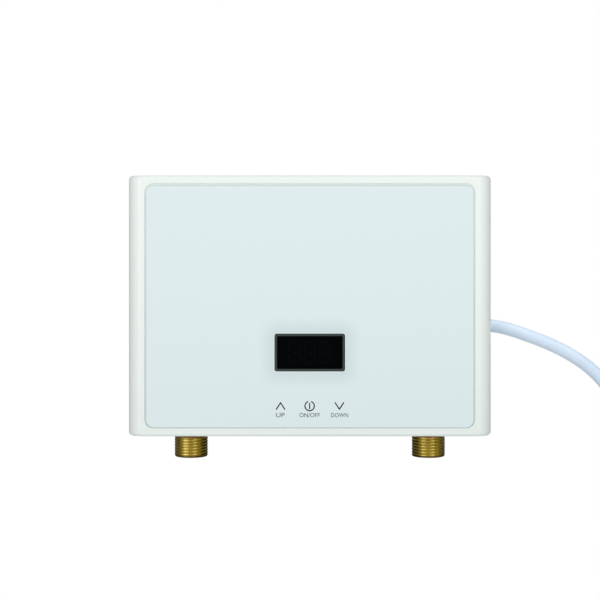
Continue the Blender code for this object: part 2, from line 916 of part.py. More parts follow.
def makeFittings():
    for name, x in (("inlet_fitting", fittingX), ("outlet_fitting", -fittingX)):
        profile = [(radius, height - flangeLow) for radius, height in fittingProfile()]
        fitting = turned(name, profile, brass(), (x, fittingY, flangeLow), closed=True)
        low = (x - flangeWidth / 2, fittingY - flangeDepth / 2, flangeLow)
        high = (x + flangeWidth / 2, fittingY + flangeDepth / 2, flangeHigh)
        flange = helper(f"{name}_flange", boxes=[(low, high)])
        step = fittingLow + upperBoreRise
        bore = ((x, fittingY, flangeLow - overrun), (x, fittingY, step), boreRadius)
        upper = ((x, fittingY, step - overrun), (x, fittingY, flangeHigh + overrun), upperBoreRadius)
        screws = []
        for reach in (-flangeScrewReach, flangeScrewReach):
            start = (x + reach, fittingY, flangeLow - overrun)
            screws.append((start, (x + reach, fittingY, flangeHigh + overrun), screwShank + seatGap))
        cut(flange, helper(f"{name}_bore", rods=[bore + (None, 24)]))
        cut(flange, helper(f"{name}_upper_bore", rods=[upper + (None, 24)]))
        cut(flange, helper(f"{name}_screw_holes", rods=screws))
        join(fitting, flange)


def makeFittingScrews():
    length = floorBossHeight + flangeThickness - seatGap
    for number, (x, _) in enumerate(flangeScrewPlaces(), 1):
        headZ = flangeHigh + seatGap
        turned(f"fitting_screw_{number}", screwProfile(length), zincSteel(), (x, fittingY, headZ), steps=12)


def makeStrainer():
    top = fittingLow + upperBoreRise - seatGap
    outer = boreRadius - seatGap
    inner = outer - strainerWall
    profile = [
        (0, 0), (outer, 0), (outer, -strainerLength), (inner, -strainerLength), (inner, -strainerWall),
        (0, -strainerWall),
    ]
    strainer = turned("inlet_strainer", profile, zincSteel(), (fittingX, fittingY, top))
    holes = []
    reach = outer / 2
    for number in range(6):
        angle = math.pi * number / 3
        x = fittingX + reach * math.cos(angle)
        y = fittingY + reach * math.sin(angle)
        holes.append(((x, y, top - strainerWall - overrun), (x, y, top + overrun), strainerBarWidth, None, 8))
    cut(strainer, helper("strainer_holes", rods=holes))


def makeFlowSensor():
    middle = (fittingX, fittingY, flowLow)
    flare = flowRadius - flowBore
    profile = [
        (flowRadius, flowLength), (flowRadius, flowLength - flare), (flowRadius - flare / 2, flowLength - 2 * flare),
        (flowRadius - flare / 2, 2 * flare), (flowRadius, flare), (flowRadius, 0), (flowBore, 0),
        (flowBore, flowLength),
    ]
    body = turned("flow_sensor_body", profile, innerNylon(), middle, closed=True)
    bars = []
    for low in (flowLow + spiderInset, flowHigh - spiderInset - spiderThickness):
        reach = flowBore + flare / 4
        bars.append((
            (fittingX - reach, fittingY - spiderWidth / 2, low),
            (fittingX + reach, fittingY + spiderWidth / 2, low + spiderThickness),
        ))
    join(body, helper("flow_spiders", boxes=bars))
    socket = ((fittingX, fittingY, shaftLow), (fittingX, fittingY, shaftHigh), shaftRadius + seatGap)
    cut(body, helper("shaft_sockets", rods=[socket]))
    shaft = bmesh.new()
    half = (shaftHigh - shaftLow) / 2 - seatGap
    addRod(shaft, (0, 0, -half), (0, 0, half), shaftRadius, sides=12)
    place("impeller_shaft", meshOf("impeller_shaft", shaft), zincSteel(), (fittingX, fittingY, impellerZ()))
    hallBack = fittingY - flowRadius + flare / 2 - seatGap
    low = (fittingX - hallWidth / 2, hallBack - hallDepth, impellerZ() - hallHeight / 2)
    block("hall_sensor", low, (fittingX + hallWidth / 2, hallBack, impellerZ() + hallHeight / 2), blackResin())


def impellerZ():
    return (shaftLow + shaftHigh) / 2


def makeImpeller():
    half = impellerLength / 2
    middle = (fittingX, fittingY, impellerZ())
    impeller = turned("flow_impeller", [
        (impellerHub, half), (impellerHub, -half), (shaftRadius + seatGap, -half), (shaftRadius + seatGap, half),
    ], innerNylon(), middle, steps=20, closed=True)
    blades = place("impeller_blades", bladesMesh(half - bladeInset), None, middle, collection=cuttersCollection)
    join(impeller, hide(blades))


def bladesMesh(reach):
    # Flat blades twisted about the shaft, each more the further it lies from the middle
    shape = bmesh.new()
    for number in range(impellerBlades):
        blade = bmesh.new()
        addBox(
            blade, (impellerHub - bladeRoot, -bladeThickness / 2, -reach), (impellerReach, bladeThickness / 2, reach),
        )
        rising = [edge for edge in blade.edges if abs(edge.verts[0].co.z - edge.verts[1].co.z) > reach]
        bmesh.ops.subdivide_edges(blade, edges=rising, cuts=5, use_grid_fill=True)
        bmesh.ops.triangulate(blade, faces=blade.faces)
        for vertex in blade.verts:
            turn = bladeTwist * vertex.co.z / reach + 2 * math.pi * (number + 1 / 4) / impellerBlades
            vertex.co = Matrix.Rotation(turn, 3, "Z") @ vertex.co
        single = bpy.data.meshes.new("single_blade")
        blade.to_mesh(single)
        blade.free()
        shape.from_mesh(single)
        bpy.data.meshes.remove(single)
    return meshOf("impeller_blades", shape)


def pipePoints(side, start):
    # Straight up from the fitting, then one bend in to the end of the heating block
    end = blockWidth / 2 + seatGap
    top = blockLow + blockHeight * pipeRiseShare
    centre = (fittingX - pipeBend, top - pipeBend)
    points = [(side * fittingX, fittingY, start)]
    for step in range(7):
        angle = math.pi / 2 * step / 6
        x = centre[0] + pipeBend * math.cos(angle)
        points.append((side * x, fittingY, centre[1] + pipeBend * math.sin(angle)))
    points.append((side * end, fittingY, top))
    return points


def makePipes():
    tube("inlet_pipe", pipePoints(1, flowHigh + seatGap), pipeRadius, copper(), resolution=4)
    tube("outlet_pipe", pipePoints(-1, spigotTop + seatGap), pipeRadius, copper(), resolution=4)


def makeHeatingBlock():
    low = (-blockWidth / 2, blockFrontY, blockLow)
    heating = block("heating_block", low, (blockWidth / 2, -blockBack, blockHigh), castAluminium(), blockEdge)
    pitch = blockHeight / ridgeCount
    y = ridgeFrontY + ridgeRadius
    reach = blockWidth / 2 - blockEdge
    ridges = []
    for number in range(ridgeCount):
        z = blockLow + pitch * (number + 1 / 2)
        ridges.append(((-reach, y, z), (reach, y, z), ridgeRadius))
    seat = (
        (-padWidth / 2, ridgeFrontY, blockLow + blockHeight / 2 - padHeight / 2),
        (padWidth / 2, blockFrontY + blockEdge, blockLow + blockHeight / 2 + padHeight / 2),
    )
    join(heating, helper("block_ridges", rods=ridges), helper("block_seat", boxes=[seat]))


def makeTerminals():
    for side, x in (("left", -terminalX), ("right", terminalX)):
        collar = terminalHeight / 3
        profile = [
            (0, terminalHeight), (terminalRadius / 2, terminalHeight), (terminalRadius / 2, 2 * collar),
            (terminalRadius, 2 * collar), (terminalRadius, collar), (terminalCollar, collar), (terminalCollar, 0),
            (0, 0),
        ]
        y = -blockBack - blockDepth / 2
        turned(f"element_terminal_{side}", profile, zincSteel(), (x, y, blockHigh + seatGap), steps=16)


def makeStraps():
    low = blockLow - seatGap
    high = blockHigh + seatGap
    front = -ridgeFrontY + seatGap
    foot = strapPostDepth + seatGap
    thick = strapThickness
    outline = [
        (foot, low - strapFoot), (foot + thick, low - strapFoot), (foot + thick, low - thick),
        (front + thick, low - thick), (front + thick, high + thick), (foot + thick, high + thick),
        (foot + thick, high + strapFoot), (foot, high + strapFoot), (foot, high), (front, high), (front, low),
        (foot, low),
    ]
    holeZ = high + thick / 2 + strapFoot / 2
    for side, x in (("left", -strapX), ("right", strapX)):
        strap = outlined(f"block_strap_{side}", [outline], strapWidth, zincSteel(), (x, 0, 0), facingRight())
        hole = ((x, -foot - thick - overrun, holeZ), (x, -foot + overrun, holeZ), screwShank + seatGap)
        cut(strap, helper(f"strap_hole_{side}", rods=[hole]))
        headY = -foot - thick - seatGap
        length = thick + strapPostDepth - caseWall - seatGap
        turned(
            f"strap_screw_{side}", screwProfile(length), zincSteel(), (x, headY, holeZ),
            (math.radians(90), 0, 0), steps=12,
        )


# Safety parts and sensors

def makeCutouts():
    z = blockLow + blockHeight / 2
    y = ridgeFrontY - seatGap
    top = cutoutHeight + cutoutNeckHeight
    outer = [(cutoutNeck, top), (cutoutNeck, cutoutHeight), (cutoutRadius, cutoutHeight), (cutoutRadius, 0), (0, 0)]
    turn = (math.radians(90), 0, 0)
    turned("cutout_auto", [(0, top)] + outer, blackResin(), (-cutoutSpread / 2, y, z), turn)
    socket = buttonRadius + seatGap
    bore = [(0, top - buttonSocket), (socket, top - buttonSocket), (socket, top)]
    turned("cutout_manual", bore + outer, blackResin(), (cutoutSpread / 2, y, z), turn)
    # The button stands clear of its socket's floor by its travel
    profile = [
        (0, buttonLength), (buttonRadius - seatGap, buttonLength), (buttonRadius, buttonLength - seatGap),
        (buttonRadius, 0), (0, 0),
    ]
    turned("reset_button", profile, finish("red_button", (0.55, 0.03, 0.02), 0.4),
           (cutoutSpread / 2, buttonBaseY, z), turn, steps=16)


def makeOutletSensor():
    y = fittingY - pipeRadius - seatGap - sensorRadius
    profile = [(0, sensorLength), (sensorRadius, sensorLength), (sensorRadius, 0), (0, 0)]
    turned("outlet_sensor", profile, innerNylon(), (-fittingX, y, spigotTop + sensorRise), steps=12)


# Power board, mains terminals and lead

def onBoard(name, x, rise, width, depth, height, material):
    back = powerFrontY - seatGap
    z = powerLow + rise
    low = (x - width / 2, back - depth, z - height / 2)
    block(name, low, (x + width / 2, back, z + height / 2), material, seatGap * 2)


def makePowerBoard():
    block("power_board", (powerLeft, powerFrontY, powerLow), (powerRight, powerBackY, powerHigh), circuitBoard())
    onBoard("mains_relay", relayX, relayRise, relayWidth, relayDepth, relayHeight, blackResin())
    onBoard("heater_triac", triacX, triacRise, triacWidth, triacDepth, triacHeight, blackResin())
    onBoard("supply_module", supplyX, supplyRise, supplyWidth, supplyDepth, supplyHeight, innerNylon())


def makeTerminalBlock():
    back = -caseWall - seatGap
    half = blockTerminalHeight / 2
    front = cordY - cordRadius - blockTerminalRim
    low = (blockTerminalRight - blockTerminalWidth, front, -cordDrop - half)
    high = (blockTerminalRight, back, -cordDrop + half)
    block("terminal_block", low, high, innerNylon(), seatGap * 2)


def makeBush():
    # The tapered relief is inside the case, because the lead leaves bare from the side
    length = bushLength
    flange = length - caseWall - seatGap
    bore = cordRadius + seatGap
    profile = [
        (bushNeck, length), (bushNeck, flange), (bushFlange, flange), (bushFlange, flange - bushFlangeThickness),
        (bushRoot, flange - bushFlangeThickness), (bushTip, 0), (bore, 0), (bore, length),
    ]
    start = (halfWidth - seatGap - length, cordY, -cordDrop)
    turned("cord_bush", profile, whitePlastic(), start, (0, math.radians(90), 0), closed=True)


def makeInnerLead():
    # The sheath inside the case, through the bush and the clamp to the terminals
    shape = bmesh.new()
    start = blockTerminalRight + seatGap
    addRod(shape, (0, 0, 0), (halfWidth - seatGap - start, 0, 0), cordRadius, sides=12)
    place("inner_lead", meshOf("inner_lead", shape), cordSheath(), (start, cordY, -cordDrop))


def makeClamp():
    # A saddle over the lead, with a foot on each side
    inner = cordRadius + seatGap
    outer = inner + clampWall
    footBack = -cordY - cordRadius
    footFront = footBack + clampWall
    reach = cordRadius + clampWall + clampFoot
    seat = -cordY
    points = [(footBack, -reach), (footFront, -reach), (footFront, -outer)]
    points += [(seat + outer * math.sin(a), outer * math.cos(a)) for a in arcAngles(math.pi, 0)]
    points += [(footFront, outer), (footFront, reach), (footBack, reach), (footBack, inner)]
    points += [(seat + inner * math.sin(a), inner * math.cos(a)) for a in arcAngles(0, math.pi)]
    points += [(footBack, -inner)]
    middle = (clampLeft + clampWidth / 2, 0, -cordDrop)
    clamp = outlined("cord_clamp", [points], clampWidth, innerNylon(), middle, facingRight())
    holes = []
    for number, (x, z) in enumerate(clampScrewPlaces(), 1):
        holes.append(((x, -footFront - overrun, z), (x, -footBack + overrun, z), screwShank + seatGap))
        headY = -footFront - seatGap
        length = footFront - caseWall - seatGap
        turned(
            f"clamp_screw_{number}", screwProfile(length), zincSteel(), (x, headY, z),
            (math.radians(90), 0, 0), steps=12,
        )
    cut(clamp, helper("clamp_holes", rods=holes))


def arcAngles(start, end, steps=8):
    return [start + (end - start) * step / steps for step in range(steps + 1)]


# Free mains lead

def smoothRoute(points, step):
    # A smooth curve through the route's own points, read at even steps along it
    ends = [points[0], *points, points[-1]]
    dense = []
    for before, first, second, after in zip(ends, ends[1:], ends[2:], ends[3:]):
        for share in range(24):
            dense.append(curvePoint(before, first, second, after, share / 24))
    dense.append(points[-1])
    lengths = [0]
    for first, second in zip(dense, dense[1:]):
        lengths.append(lengths[-1] + math.dist(first, second))
    count = max(2, round(lengths[-1] / step))
    even = []
    for number in range(count + 1):
        wanted = lengths[-1] * number / count
        index = next((i for i, length in enumerate(lengths) if length >= wanted), len(lengths) - 1)
        even.append(dense[index])
    return even, lengths[-1]


def curvePoint(before, first, second, after, share):
    # Catmull-Rom, the usual curve through four points
    values = []
    for a, b, c, d in zip(before, first, second, after):
        bend = 2 * b + (c - a) * share + (2 * a - 5 * b + 4 * c - d) * share ** 2
        values.append((bend + (3 * b - a - 3 * c + d) * share ** 3) / 2)
    return tuple(values)


def hankPath(perTurn):
    # Loops that spiral in and out again in two layers, the climb along a run at the reversal
    fold = math.pi * (hankLeast + hankStep)
    run = hankRun / (2 * hankRun + 2 * fold)
    total = hankTurns + run
    widest = hankLeast + hankStep * total / 2
    centre = hankX + widest
    count = round(perTurn * total)
    path = []
    for number in range(count + 1):
        turn = total * number / count
        width = widest - hankStep * min(turn, total - turn)
        phase = turn % 1
        x, z = loopPoint(phase, run, width)
        climb = min(1, max(0, (turn - hankTurns / 2) / run))
        climb = climb * climb * (3 - 2 * climb)
        path.append((centre + x, cordY - hankLayer * climb, hankTop + z))
    return path, centre, widest


def loopPoint(phase, run, width):
    # Down the left run, round the bottom fold, up the right run and round the top fold
    side = -1 if phase < 1 / 2 else 1
    share = (phase % (1 / 2)) / run
    if share <= 1:
        drawn = hankPinch * math.sin(math.pi * share) ** 2
        down = share if side < 0 else 1 - share
        return side * (width - drawn), -hankRun * down
    angle = math.pi * (phase % (1 / 2) - run) / (1 / 2 - run)
    end = -hankRun if side < 0 else 0
    return side * width * math.cos(angle), end + side * width * math.sin(angle)


def leastGap(path):
    # Between centre lines, past the stretch that is simply the next of the same bend
    points = [Vector(point) for point in path]
    skip = math.ceil(math.pi * cordDiameter / (points[1] - points[0]).length)
    gaps = [
        (points[i] - points[j]).length for i in range(len(points)) for j in range(i + skip, len(points))
    ]
    return min(gaps) - cordDiameter


def makeCord():
    shown, runLength = smoothRoute([(x, cordY, z) for x, z in cordRoute], cordStep)
    exitPoint = (halfWidth, cordY, -cordDrop)
    shown[0] = (shown[0][0], cordY, -cordDrop)
    tube("cord_run", [exitPoint, *shown, (hankX, cordY, runLow)], cordRadius, cordSheath(), resolution=4)
    runLength += cordRoute[0][0] - halfWidth + cordRadius
    path, centre, widest = hankPath(hankPointsPerTurn)
    dense, _, _ = hankPath(hankPointsPerTurn * 10)
    print("least gap of the hank to itself, mm:", round(leastGap(dense) * 1000, 2))
    last = path[-1]
    start = (hankX, cordY, hankTop + cordDiameter)
    end = (last[0], last[1], last[2] - cordDiameter)
    tube("cord_hank", [start, *path, end], cordRadius, cordSheath(), resolution=1)
    hankLength = sum(math.dist(a, b) for a, b in zip(dense, dense[1:])) + 2 * cordDiameter
    tailTop = (end[0], end[1], end[2] - seatGap)
    tailEnd = (end[0], end[1], tailTop[2] - tailLength)
    middle = (end[0], end[1], (tailTop[2] + tailEnd[2]) / 2)
    tube("cord_tail", [tailTop, middle, tailEnd], cordRadius, cordSheath(), resolution=4)
    print("length of the free lead, m:", round(runLength + hankLength + tailLength, 3))
    makeTie(centre, widest)
    makePlug((tailEnd[0], tailEnd[1], tailEnd[2] - seatGap))


def makeTie(centre, widest):
    halfX = widest - hankPinch + cordRadius + tieSpare
    halfY = hankLayer / 2 + cordRadius + tieSpare
    middle = (centre, cordY - hankLayer / 2, hankTop - hankRun / 2)
    outer = roundedOutline(2 * (halfX + tieThickness), 2 * (halfY + tieThickness), cordRadius)
    inner = roundedOutline(2 * halfX, 2 * halfY, cordRadius - tieThickness)
    smooth(outlined("cord_tie", [outer, inner], tieHeight, blackRubber(), middle))


def makePlug(top):
    profile = [
        (0, 0), (reliefTop, 0), (reliefRoot, -reliefLength), (plugRadius - plugShoulder, -reliefLength - plugEdge),
        (plugRadius, -reliefLength - plugShoulder - plugEdge), (plugRadius, -reliefLength - plugLength + plugEdge),
        (plugRadius - plugEdge, -reliefLength - plugLength), (0, -reliefLength - plugLength),
    ]
    turned("plug_body", profile, plugPlastic(), top)
    face = top[2] - reliefLength - plugLength - seatGap
    for side, x in (("left", top[0] - pinSpacing / 2), ("right", top[0] + pinSpacing / 2)):
        pin = [(0, 0), (pinRadius, 0), (pinRadius, -pinLength + pinRadius), (pinRadius / 2, -pinLength), (0, -pinLength)]
        turned(f"plug_pin_{side}", pin, brass(), (x, top[1], face), steps=12)


def build():
    clearScene()
    makeBackShell()
    makeHangers()
    makeFrontCover()
    makeGasket()
    makeCaseScrews()
    makeGlassPanel()
    makePanelPad()
    makeDisplay()
    makeDisplayBoard()
    makeTouchPads()
    makeFittings()
    makeFittingScrews()
    makeStrainer()
    makeFlowSensor()
    makeImpeller()
    makePipes()
    makeHeatingBlock()
    makeTerminals()
    makeStraps()
    makeCutouts()
    makeOutletSensor()
    makePowerBoard()
    makeTerminalBlock()
    makeBush()
    makeInnerLead()
    makeClamp()
    makeCord()


build()
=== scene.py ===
import json
import math

import bmesh
import bpy
from mathutils import Matrix, Vector


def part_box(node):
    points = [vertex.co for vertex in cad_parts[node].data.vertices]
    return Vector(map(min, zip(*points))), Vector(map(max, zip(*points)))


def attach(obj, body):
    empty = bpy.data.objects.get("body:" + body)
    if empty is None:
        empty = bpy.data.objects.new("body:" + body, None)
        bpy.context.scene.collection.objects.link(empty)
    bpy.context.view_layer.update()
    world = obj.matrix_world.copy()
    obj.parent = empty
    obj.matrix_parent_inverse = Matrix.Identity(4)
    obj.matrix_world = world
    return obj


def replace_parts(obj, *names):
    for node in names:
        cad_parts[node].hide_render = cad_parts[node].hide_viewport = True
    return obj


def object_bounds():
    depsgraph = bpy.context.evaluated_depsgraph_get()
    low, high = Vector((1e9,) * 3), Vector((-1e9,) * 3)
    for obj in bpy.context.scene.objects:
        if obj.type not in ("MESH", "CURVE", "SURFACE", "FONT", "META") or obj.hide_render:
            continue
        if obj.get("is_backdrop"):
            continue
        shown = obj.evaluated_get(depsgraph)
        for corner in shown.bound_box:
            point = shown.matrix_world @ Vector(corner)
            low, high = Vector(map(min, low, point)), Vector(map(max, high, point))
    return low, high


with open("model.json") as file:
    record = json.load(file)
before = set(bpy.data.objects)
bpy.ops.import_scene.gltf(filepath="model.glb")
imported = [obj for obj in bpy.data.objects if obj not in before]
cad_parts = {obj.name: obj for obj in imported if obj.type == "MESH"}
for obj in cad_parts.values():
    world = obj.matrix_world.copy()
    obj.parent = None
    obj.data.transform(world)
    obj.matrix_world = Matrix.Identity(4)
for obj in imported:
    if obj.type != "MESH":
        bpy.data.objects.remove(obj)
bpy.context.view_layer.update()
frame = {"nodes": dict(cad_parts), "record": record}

print("frame loaded:", len(frame["nodes"]), "nodes")

bpy.context.scene.view_settings.view_transform = "Standard"
heater = "heater"                                    # the body that everything fixed rides on
mm = 0.001
seatGap = 0.3 * mm
hair = 0.01 * mm                                     # places nearer than this count as one level
weldGap = 0.001 * mm
flatAngle = math.radians(0.5)                        # faces that turn less than this count as one
sharpAngle = math.radians(40)                        # edges that turn more than this can be rounded off


# Shader sockets that can be added, taken away, multiplied and compared

class Signal:
    def __init__(self, paint, socket):
        self.paint = paint
        self.socket = socket

    def maths(self, operation, first, second):
        return self.paint.add("ShaderNodeMath", {"operation": operation}, {0: first, 1: second})

    def __add__(self, other):
        return self.maths("ADD", self, other)

    def __radd__(self, other):
        return self.maths("ADD", other, self)

    def __sub__(self, other):
        return self.maths("SUBTRACT", self, other)

    def __rsub__(self, other):
        return self.maths("SUBTRACT", other, self)

    def __mul__(self, other):
        return self.maths("MULTIPLY", self, other)

    def __rmul__(self, other):
        return self.maths("MULTIPLY", other, self)

    def __gt__(self, other):
        return self.maths("GREATER_THAN", self, other)

    def __abs__(self):
        return self.paint.add("ShaderNodeMath", {"operation": "ABSOLUTE"}, {0: self})


class Mixer:
    # One node tree, and the way in which every node comes into it
    def __init__(self, tree):
        self.tree = tree

    def give(self, socket, value):
        if isinstance(value, Signal):
            self.tree.links.new(value.socket, socket)
        else:
            socket.default_value = value

    def add(self, kind, settings, values, output=0):
        made = self.tree.nodes.new(kind)
        for setting, value in settings.items():
            setattr(made, setting, value)
        for socket, value in values.items():
            self.give(made.inputs[socket], value)
        return Signal(self, made.outputs[output]) if made.outputs else None


class Paint(Mixer):
    def __init__(self, name, colour, roughness=0.4, metallic=0.0, **fixed):
        self.material = bpy.data.materials.new(name)
        self.material.use_nodes = True
        super().__init__(self.material.node_tree)
        self.shader = self.tree.nodes["Principled BSDF"]
        self.material.diffuse_color = (*hexShade(*colour), 1.0)
        self.set("Base Color", self.material.diffuse_color)
        self.set("Roughness", roughness)
        self.set("Metallic", metallic)
        for socket, value in fixed.items():
            self.set(socket.replace("_", " "), value)

    def set(self, socket, value):
        self.give(self.shader.inputs[socket], value)
        return self

    def where(self):
        return self.add("ShaderNodeTexCoord", {}, {}, "Object")

    def axis(self, name):
        return self.add("ShaderNodeSeparateXYZ", {}, {0: self.where()}, name)

    def stretched(self, scale):
        return self.add("ShaderNodeMapping", {}, {0: self.where(), "Scale": scale})

    def noise(self, scale, detail=3.0, rough=0.5, vector=None):
        values = {"Vector": vector or self.where(), "Scale": scale, "Detail": detail, "Roughness": rough}
        return self.add("ShaderNodeTexNoise", {}, values, "Fac")

    def mix(self, factor, first, second):
        # Of two shades, each written on a 255 scale or mixed before
        shades = [
            (*hexShade(*shade), 1.0) if isinstance(shade, tuple) else shade for shade in (first, second)
        ]
        return self.add("ShaderNodeMix", {"data_type": "RGBA"}, {0: factor, 6: shades[0], 7: shades[1]}, 2)

    def ramp(self, factor, low, high):
        values = {"Value": factor, "From Min": low, "From Max": high}
        return self.add("ShaderNodeMapRange", {"clamp": True}, values)

    def bump(self, height, strength, distance):
        made = self.add("ShaderNodeBump", {}, {"Height": height, "Strength": strength, "Distance": distance})
        return self.set("Normal", made)

    def grained(self, scale, detail, smooth, rough, strength=0, height=0.1 * mm, share=0.5):
        # A fine grain varies the gloss and, where it has a strength, stands up a little
        grain = self.noise(scale, detail, share)
        self.set("Roughness", smooth + rough * grain)
        return self.bump(grain, strength, height) if strength else self


def hexShade(red, green, blue):
    # A colour read as sRGB on a 255 scale, in the linear values that a shader takes
    values = []
    for level in (red, green, blue):
        share = level / 255
        values.append(share / 12.92 if share <= 0.04045 else ((share + 0.055) / 1.055) ** 2.4)
    return tuple(values)


# Finishes of this heater

def whiteMoulding():
    # Painted shade: the white is a little darker towards the foot and lighter towards the top, as the
    # photograph shows it
    paint = Paint("white_moulding", (237, 244, 240), 0.30, Specular_IOR_Level=0.35, Coat_Weight=0.1)
    cloud = paint.ramp(paint.noise(9, 2), 0.3, 0.7)
    # Painted shade by height: darker at the foot, lighter at the top
    rise = paint.ramp(paint.axis("Z"), -80 * mm, 80 * mm)
    ground = paint.mix(rise, (228, 236, 232), (239, 246, 242))
    paint.set("Base Color", paint.mix(0.3 * cloud, ground, (237, 243, 240)))
    return paint.grained(900, 2, 0.26, 0.10, 0.05).material


def steelPlate():
    paint = Paint("zinc_steel", (196, 200, 205), 0.35, 1.0)
    spangle = paint.noise(160, 4, 0.6)
    paint.set("Base Color", paint.mix(paint.ramp(spangle, 0.35, 0.65), (180, 184, 190), (208, 212, 216)))
    paint.set("Roughness", 0.28 + 0.2 * spangle)
    return paint.bump(paint.noise(1400, 2), 0.06, 0.1 * mm).material


def castMetal():
    paint = Paint("cast_aluminium", (176, 178, 180), 0.5, 1.0)
    return paint.grained(700, 4, 0.42, 0.22, 0.35, 0.2 * mm, 0.6).material


def copperTube():
    paint = Paint("copper", (196, 128, 96), 0.3, 1.0)
    stain = paint.noise(120, 4)
    paint.set("Base Color", paint.mix(paint.ramp(stain, 0.4, 0.7), (200, 132, 98), (150, 92, 66)))
    return paint.set("Roughness", 0.22 + 0.25 * stain).material


def darkRubber():
    return Paint("black_rubber", (30, 31, 32), 0.7).grained(1500, 2, 0.62, 0.2, 0.2).material


def greenBoard():
    paint = Paint("circuit_board", (24, 92, 52), 0.4, Coat_Weight=0.4, Coat_Roughness=0.2)
    tracks = paint.ramp(paint.noise(420, 1, 0.3, paint.stretched((1, 1, 0.3))), 0.48, 0.52)
    return paint.set("Base Color", paint.mix(tracks, (20, 82, 46), (34, 110, 62))).material


def blackResin():
    return Paint("black_resin", (28, 28, 30), 0.45).grained(1200, 3, 0.38, 0.2, 0.15).material


def palePlastic():
    paint = Paint("inner_nylon", (226, 222, 208), 0.5, Subsurface_Weight=0.1, Subsurface_Scale=0.002)
    return paint.grained(600, 3, 0.42, 0.16, 0.1).material


def redMoulding():
    return Paint("red_button", (170, 28, 22), 0.35).grained(900, 2, 0.28, 0.16).material


# Heights of the painted shade on the turned ends of the water fittings, and a height between them and the
# plug
endShadeHeights = {"dark": -94.3 * mm, "plain": -93.7 * mm, "overPlug": -200 * mm}


def brassBar():
    # Machined yellow brass with a faint brown film in patches, and painted shade that darkens the fittings'
    # turned ends
    paint = Paint("brass", (139, 116, 46), 0.18, 1.0)
    film = paint.noise(130, 3, 0.5)
    ground = paint.mix(paint.ramp(film, 0.35, 0.8), (141, 118, 42), (133, 110, 36))
    height = paint.axis("Z")
    unshadedShare = paint.ramp(height, endShadeHeights["dark"], endShadeHeights["plain"])
    # Painted shade: the turned ends are darkened in the colour, in place of the dark they reflect
    end = (1.0 - unshadedShare) * (height > endShadeHeights["overPlug"])
    paint.set("Base Color", paint.mix(end, ground, (92, 75, 26)))
    return paint.set("Roughness", 0.21 + 0.05 * film).material


def leadSheath():
    paint = Paint("cord_sheath", (204, 221, 238), 0.42, Coat_Weight=0.15, Coat_Roughness=0.35)
    bloom = paint.ramp(paint.noise(60, 3), 0.3, 0.7)
    paint.set("Base Color", paint.mix(bloom, (200, 217, 235), (208, 224, 241)))
    return paint.grained(1100, 2, 0.38, 0.14, 0.12, 0.08 * mm).material


def plugMoulding():
    paint = Paint("plug_moulding", (206, 221, 238), 0.38, Coat_Weight=0.1, Coat_Roughness=0.3)
    return paint.grained(800, 3, 0.34, 0.16, 0.2).material


def displayTrim():
    paint = Paint("dark_trim", (50, 58, 56), 0.35, Specular_IOR_Level=0.25)
    return paint.grained(1300, 2, 0.3, 0.14).material


def smokedLens():
    paint = Paint("black_lens", (6, 7, 9), 0.08, Specular_IOR_Level=0.0)
    return paint.grained(300, 2, 0.07, 0.05).material


def printedInk(name, colour, gloss=0.2):
    return Paint(name, colour, 0.5, Specular_IOR_Level=gloss).grained(2500, 2, 0.42, 0.16).material


# Heights between which the painted shade on the print changes, and the half sizes of the painted darker field
# round the display
glassShadeSizes = {
    "foot": -75 * mm, "top": 74 * mm, "across": (20.5 * mm, 31.5 * mm), "along": (10.5 * mm, 21.5 * mm),
    "darker": 0.75,
}


def backedGlass():
    # Clear glass over a pale print, with painted shade: a little darker towards the foot and round the
    # display
    paint = Paint("pale_glass", (221, 235, 236), 0.09, Coat_Weight=0.5, Coat_Roughness=0.03, Coat_IOR=1.5)
    # Painted shade by height: darker at the foot, lighter at the top
    fall = paint.ramp(paint.axis("Z"), glassShadeSizes["foot"], glassShadeSizes["top"])
    ground = paint.mix(fall, (217, 232, 233), (222, 236, 237))
    # Painted shade round the display, darkest at its frame and fading outwards
    across = paint.ramp(abs(paint.axis("X")), *glassShadeSizes["across"])
    along = paint.ramp(abs(paint.axis("Z") + displaySizes["drop"]), *glassShadeSizes["along"])
    near = glassShadeSizes["darker"] * ((1.0 - across) * (1.0 - along))
    paint.set("Base Color", paint.mix(near, ground, (196, 211, 213)))
    return paint.grained(14, 2, 0.06, 0.05).material


displaySizes = {
    "width": 43.5 * mm, "height": 23.3 * mm, "drop": 28.7 * mm, "corner": 1.5 * mm, "band": 1.5 * mm,
    "digitHeight": 12.5 * mm, "digitWidth": 6.6 * mm, "digitStroke": 1.25 * mm, "digitGap": 9.4 * mm,
    "proud": 0.2 * mm, "edge": 0.22 * mm, "lensEdge": 0.15 * mm, "digitProud": 0.03 * mm,
    "digitDepth": 0.05 * mm, "strokeGap": 1.4, "strokeRound": 0.3,
}

finishes = {
    "white_plastic": whiteMoulding(), "pale_glass": backedGlass(), "dark_trim": displayTrim(),
    "black_lens": smokedLens(), "brass": brassBar(), "cast_aluminium": castMetal(),
    "zinc_steel": steelPlate(), "copper": copperTube(), "black_rubber": darkRubber(),
    "circuit_board": greenBoard(), "black_resin": blackResin(), "inner_nylon": palePlastic(),
    "red_button": redMoulding(), "cord_sheath": leadSheath(), "plug_plastic": plugMoulding(),
}
print("finishes mixed:", len(finishes))


# Every solid takes the finish of its slot, also where a finer piece replaces it

slotOf = {entry["node"]: entry["material_slot"] for entry in frame["record"]["subparts"]}
for node, model in frame["nodes"].items():
    model.data.materials.clear()
    model.data.materials.append(finishes[slotOf[node]])


# Camera, as the photograph was taken: almost square on, a finger's width above the middle of the case
# The distances that start with an axis or a middle are the photograph's own pixels, 600 to a side

cameraSizes = {
    "distance": 0.85, "rise": 0.010, "pixel": 0.615 * mm, "sensor": 36.0, "frame": 600,
    "axisX": 309.8, "middleY": 305.85, "nearest": 0.01,
}


